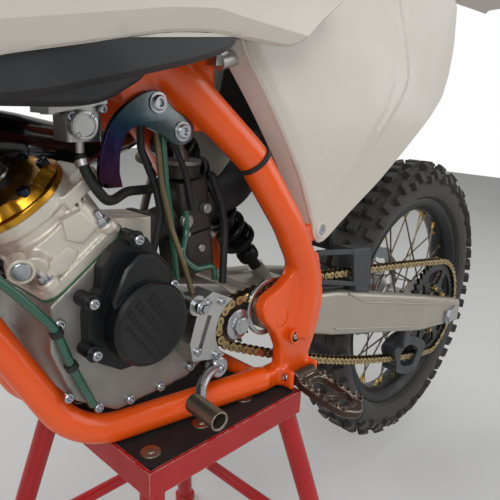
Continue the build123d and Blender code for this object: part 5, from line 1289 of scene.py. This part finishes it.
# %% Fenders
def crowned(line, halves, drop, thick=3.2, sides=13, lip=5.0):
    """A sheet along a line of (x, z). Across it falls by drop (y / half)^2, and a lip at the edge."""
    top = smooth_line([(x, 0, z) for x, z in line], 8)
    half = np.interp(np.linspace(0, 1, len(top)), np.linspace(0, 1, len(halves)), halves)
    rings = []
    for p, w in zip(top, half):
        s = np.linspace(-1, 1, sides)
        fall = drop * np.abs(s) ** 2.2 * (w / max(halves)) + lip * np.clip((np.abs(s) - 0.86) / 0.14, 0, 1)
        upper = np.stack([np.full(sides, p[0]), s * w, p[2] - fall], 1)
        under = upper[::-1] - np.array([0, 0, thick])
        rings.append(np.vstack([upper, under]))
    return skinned(rings)


FRONT_REACH, REAR_REACH = 370.0, 330.0
TIP = 1290 + FRONT_REACH
piece("front_fender_sheet", [crowned([(990, 494), (1012, 510), (1080, 519), (1165, 507), (1250, 485), (1340, 454), (1420, 421), (TIP - 4, 357)],
                                     [38, 52, 62, 64, 66, 66, 62, 30], 9.0)], "white_polypropylene", "steering", 40, ["front_fender"])
piece("rear_fender_sheet", [crowned([(256, 572), (200, 583), (140, 594), (30, 609.5), (-60, 615), (-140, 616.5), (-250, 611), (3 - REAR_REACH, 601)],
                                    [88, 87, 86, 82, 76, 68, 56, 34], 8.0)], "white_polypropylene", "motorcycle", 40, ["rear_fender"])

# %% Fork, clamps and bar
RAKE = math.radians(24)
AXIS_UP = np.array([-math.sin(RAKE), 0, math.cos(RAKE)])
AXIS_AHEAD = np.array([math.cos(RAKE), 0, math.sin(RAKE)])
AXIS_FOOT = np.array([1290.0, 0, 20.0]) - 42 * AXIS_AHEAD


def steer(along_axis, ahead=0.0, left=0.0):
    """A point along the steering axis from the front axle, ahead of it and to the left."""
    return AXIS_FOOT + AXIS_UP * along_axis + AXIS_AHEAD * ahead + np.array([0, left, 0])


tubes, seals, tops = [], [], []
for side in (-1, 1):
    foot_ = steer(0, 14, side * 86)
    tubes.append(lathe([(21.6, 300), (24, 300), (25, 302), (25, 566), (24.6, 572), (24.6, 608), (25, 614), (25, 768),
                        (24.6, 772), (24.6, 808), (24, 812), (21.6, 812)], foot_, AXIS_UP, 56, wrap=True))
    seals.append(lathe([(21.6, 288), (25.2, 288), (27, 291), (27, 303), (25.4, 306), (21.6, 306)], foot_, AXIS_UP, 56, wrap=True))
    tops.append(lathe([(0, 804), (23, 804), (23, 812), (21, 814), (0, 814)], foot_, AXIS_UP, 48))
    tops.append(lathe([(0, 813), (11, 813), (11, 820), (9.6, 821.4), (0, 821.4)], foot_, AXIS_UP, 6))
    for height in (590, 790):
        for shift in (-9, 9):
            tops.append(screw(steer(height + shift, -17.4, side * 104), -AXIS_AHEAD, 5, 5))
tops.append(hexagon(steer(804), AXIS_UP, 15, 10))
piece("fork_outer_tubes", tubes, "gold_anodised", "steering", 30, ["fork_tubes"])
piece("fork_seals", seals, "black_plastic", "steering", 30)
piece("fork_caps_and_screws", tops, "plated_steel", "steering", 30)


def bar_point(left, rise, back):
    """A point of the handlebar from its middle."""
    return steer(852 + rise, 12 - back, left)


root, tip = bar_point(215, 66, 24), bar_point(368, 78, 62)
out = (tip - root) / np.linalg.norm(tip - root)
base = tip - out * 118
profile = [(11.4, -6), (26, -6), (26, -2.6), (24.6, -1), (16.4, 0)]
for k in range(23):
    s = 3 + 4.8 * k
    profile += [(15.2, s), (16.2, s + 1.0), (16.2, s + 3.2), (15.2, s + 4.2)]
profile += [(16.2, 115), (16.2, 118.6), (15.4, 119.6), (11.4, 119.6)]
grip = lathe(profile, base, out, 40, wrap=True)
plug = lathe([(0, 117), (11.6, 117), (11.6, 119), (0, 119)], base, out, 24)
piece("grips_ribbed", [grip, mirrored(grip), plug, mirrored(plug)], "soft_rubber", "steering", 30, ["grips"])
pad = [bar_point(y, 38, 8) for y in (-78, -40, 0, 40, 78)]
piece("bar_pad", [hose(pad, 8.6, 20, 6)], "soft_rubber", "steering")

# %% Swingarm's folds and the open chain guide
def arm_point(x, share):
    """A point on the left arm's outer face, share of the way from its lower to its upper edge."""
    places = np.array([(462, 112, 82, 50), (350, 86, 88, 70), (110, 30, 113, 66), (-46, -4, 113, 46)])[::-1]
    middle_z, face_y, tall = (np.interp(x, places[:, 0], places[:, k]) for k in (1, 2, 3))
    return x, face_y + 0.1, middle_z + tall * (share - 0.5)


folds = []
for route in ([(325, 0.97), (300, 0.86), (278, 0.79), (200, 0.79), (110, 0.79), (20, 0.78), (-30, 0.77)],
              [(352, 0.16), (300, 0.15), (200, 0.15), (110, 0.15), (20, 0.16), (-30, 0.17)]):
    ridge = hose([arm_point(x, share) for x, share in route], 1.5, 10, 6)
    folds += [ridge, mirrored(ridge)]
piece("swingarm_folds", folds, "satin_anodised")


def windowed(outline, window, y_low, y_high, edge=0.7):
    """A plate across the bike with one window: the peg's loop turned upright."""
    points, faces = bar_between(outline, window, y_low, y_high, edge)
    return points[:, [0, 2, 1]], faces


guide = [windowed([(150, -36), (100, -24), (32, -58), (40, -84), (70, -108), (132, -88), (142, -62)],
                  [(128, -52), (100, -42), (62, -62), (66, -80), (78, -90), (118, -78)], y, y + 4) for y in (59.5, 84.5)]
for x, z in ((136, -80), (46, -78), (74, -98)):
    guide.append(lathe([(0, 60), (4.6, 60), (4.6, 89), (0, 89)], (x, 0, z), (0, 1, 0), 20))
for outline, low, high in (([(150, -34), (112, -27), (112, -42), (150, -48)], 61, 87),
                           ([(118, -1.9), (140, 3), (140, -34), (118, -34)], 84, 97),
                           ([(266, 100.8), (306, 110.5), (306, 122), (266, 109)], 76, 89),
                           ([(330, 125), (452, 145.6), (500, 151.6), (500, 149.6), (480, 147.9), (452, 142), (330, 121)], 65, 82),
                           ([(309, 170), (316, 178), (324, 180.6), (405, 193), (428, 187), (424, 180), (403, 185), (326, 173)], 84, 88.6),
                           ([(307, 121), (314, 121.6), (395, 142), (426, 149), (426, 156), (395, 149), (314, 129), (307, 128)], 84, 88.6),
                           ([(420, 148), (427, 150), (429, 186), (421, 188)], 84.2, 88.4)):
    guide.append(plate(outline, rounded(low, high, 1.0)))


def tunnel(low_x, high_x, y_reach, z_low, z_high, radius):
    """One end of the guide's block: a rounded rectangle across the bike, leaning with the block."""
    ring = []
    for cy, cz, start in ((1, 1, 0), (-1, 1, 90), (-1, -1, 180), (1, -1, 270)):
        for a in np.radians(np.linspace(start, start + 90, 5)):
            z = (z_high if cz > 0 else z_low) - cz * radius + radius * math.sin(a)
            share = (z - z_low) / (z_high - z_low)
            ring.append((low_x + (high_x - low_x) * share, CHAIN_Y + 0.5 + cy * (y_reach - radius) + radius * math.cos(a), z))
    return ring


guide.append(skinned([tunnel(262, 274, 14.5, 107, 175, 4), tunnel(311, 322, 14.5, 120, 181, 4),
                      tunnel(311, 322, 10.5, 126, 174, 3), tunnel(262, 274, 10.5, 113, 168, 3)], wrap=True))
piece("chain_guide_frame", guide, "guide_grey", replaces=["chain_guide"])

# %% Band on the left spar
SPAR = 19.5
BAND_AT, BAND_WAY = np.array([540, 85.4, 320.6]), np.array([-70, 14, -77.0])
piece("spar_band", [lathe([(SPAR - 2, -2.6), (SPAR + 1.8, -2.6), (SPAR + 1.8, 2.6), (SPAR - 2, 2.6)], BAND_AT, BAND_WAY, 48, wrap=True)], "soft_rubber")

# %% [markdown]
# ## The seat
#
# The saddle is foam under a stretched cover. Its shape is drawn a little small, rebuilt on an
# even grid and blown up as cloth with air inside, so that it bulges between its edges and stays
# flat on its base. The piping is added afterwards, because the grid would wipe it out.

# %% Seat as a filled cover
def inflated(thing, voxel, pressure, cap, flat_below):
    """Cloth with inner pressure for 20 frames. No point moves more than cap mm, and none does
    near the base, below flat_below(x) in shared metres."""
    grid = thing.modifiers.new("grid", "REMESH")
    grid.mode, grid.voxel_size = "VOXEL", voxel * MM
    bpy.context.view_layer.update()
    mesh = bpy.data.meshes.new_from_object(thing.evaluated_get(bpy.context.evaluated_depsgraph_get()))
    thing.modifiers.clear()
    thing.data = mesh
    before = np.array([v.co[:] for v in mesh.vertices])
    cloth = thing.modifiers.new("cloth", "CLOTH")
    cloth.settings.use_pressure = True
    cloth.settings.uniform_pressure_force = pressure
    cloth.settings.effector_weights.gravity = 0.0
    cloth.point_cache.frame_start, cloth.point_cache.frame_end = 1, 20
    for number in range(1, 21):
        bpy.context.scene.frame_set(number)
    swollen = thing.evaluated_get(bpy.context.evaluated_depsgraph_get()).to_mesh()
    moved = np.array([v.co[:] for v in swollen.vertices]) - before
    thing.modifiers.clear()
    bpy.context.scene.frame_set(1)
    size = np.linalg.norm(moved, axis=1)
    share = np.minimum(1, cap * MM / np.maximum(size, 1e-9))
    share *= np.clip((before[:, 2] - flat_below(before[:, 0])) / 0.012, 0, 1)
    mesh.vertices.foreach_set("co", (before + moved * share[:, None]).ravel())
    mesh.update()
    print(thing.name, "swelled by", round(float((size * share).max() / MM), 1), "mm at most")


LOW_LINE = [(44, 619.5), (140, 600.5), (260, 574.5), (430, 556.5), (590, 562.5), (690, 600.5), (800, 629), (842, 640)]
TOP_LINE = [(44, 634), (200, 626), (320, 616), (440, 606), (600, 613), (690, 640), (780, 667), (842, 662)]
HALF_LINE = [(44, 50), (200, 57), (440, 58), (560, 54), (640, 46), (780, 40), (842, 34)]
stations = np.linspace(44, 842, 61)
rings = []
for x in stations:
    base_z, top_z, w = (np.interp(x, *np.array(line_).T) for line_ in (LOW_LINE, TOP_LINE, HALF_LINE))
    middle_z, tall = (base_z + top_z) / 2, (top_z - base_z) / 2
    t = 2 * np.pi * np.arange(36) / 36
    c, s = np.cos(t), np.sin(t)
    rings.append(np.stack([np.full(36, x), w * np.sign(c) * np.abs(c) ** 0.5,
                           middle_z + tall * np.sign(s) * np.abs(s) ** 0.55], 1))
saddle = piece("seat_padded", [skinned(rings)], "seat_vinyl", sharp=180, replaces=["seat"])
low_xz = np.array([at(x, 0, z) for x, z in LOW_LINE])
inflated(saddle, 5.0, 4.0, 6.0, lambda x: np.interp(x, low_xz[:, 0], low_xz[:, 2]) + 0.003)
saddle.data.polygons.foreach_set("use_smooth", [True] * len(saddle.data.polygons))
saddle.data.materials.clear()
dress(saddle, "seat_vinyl")
smooth = saddle.modifiers.new("smooth", "SUBSURF")
smooth.levels = smooth.render_levels = 1
seam = []
for x in np.linspace(60, 832, 40):
    base_z, top_z, w = (np.interp(x, *np.array(line_).T) for line_ in (LOW_LINE, TOP_LINE, HALF_LINE))
    seam.append((x, w + 2.2, base_z + 0.45 * (top_z - base_z)))
seam = hose(seam, 1.5, 8, 2)
piece("seat_piping", [seam, mirrored(seam)], "soft_rubber")

# %% [markdown]
# ## Studio
#
# The stage is a pale floor and a white surround. The surround is white only to the camera and
# in reflections: a Light Path node lowers it for everything else, so that it doesn't wash the
# colours out. Four large soft lamps stand in for a product studio's banks.

# %% Floor, surround and lamps
def stage_floor():
    """A flat square of 12 m, just under the feet."""
    mesh = bpy.data.meshes.new("floor")
    mesh.from_pydata([(-6, -6, -0.0005), (6, -6, -0.0005), (6, 6, -0.0005), (-6, 6, -0.0005)], [], [(0, 1, 2, 3)])
    floor = bpy.data.objects.new("floor", mesh)
    bpy.context.collection.objects.link(floor)
    floor.data.materials.append(finish("pale_floor", "#dcdcda", "#d6d6d4", 0.6, spread=400, grain=3, relief=0.0))


def surround():
    """World light: full white where the camera or a mirror looks, and a softer fill elsewhere."""
    world = bpy.data.worlds.new("surround")
    bpy.context.scene.world = world
    world.use_nodes = True
    tree = world.node_tree
    tree.nodes.clear()
    path = add(tree, "LightPath")
    seen = add(tree, "Math", {0: (path, "Is Camera Ray"), 1: (path, "Is Transmission Ray")}, operation="MAXIMUM")
    level = add(tree, "Mix", {0: (seen, 0), 2: 0.30, 3: 1.0}, data_type="FLOAT")
    level = add(tree, "Mix", {0: (path, "Is Glossy Ray"), 2: (level, 0), 3: 0.44}, data_type="FLOAT")
    back = add(tree, "Background", {"Color": (1, 1, 1, 1), "Strength": (level, 0)})
    add(tree, "OutputWorld", {"Surface": (back, 0)})


def lamp(name, place, target, size, power):
    """A square area lamp of size metres at place, turned to the target."""
    light = bpy.data.lights.new(name, "AREA")
    light.size, light.energy = size, power
    thing = bpy.data.objects.new(name, light)
    bpy.context.collection.objects.link(thing)
    thing.location = place
    thing.rotation_euler = (Vector(target) - Vector(place)).to_track_quat("-Z", "Y").to_euler()


stage_floor()
surround()
lamp("key", (1.9, 2.3, 2.4), (0.0, 0.0, 0.6), 1.8, 52)
lamp("fill", (-2.6, 2.0, 1.6), (-0.2, 0.0, 0.5), 2.2, 22)
lamp("top", (0.0, 0.2, 3.4), (0.0, 0.0, 0.5), 2.6, 30)
lamp("back", (0.6, -2.8, 2.0), (0.0, 0.0, 0.6), 2.2, 32)
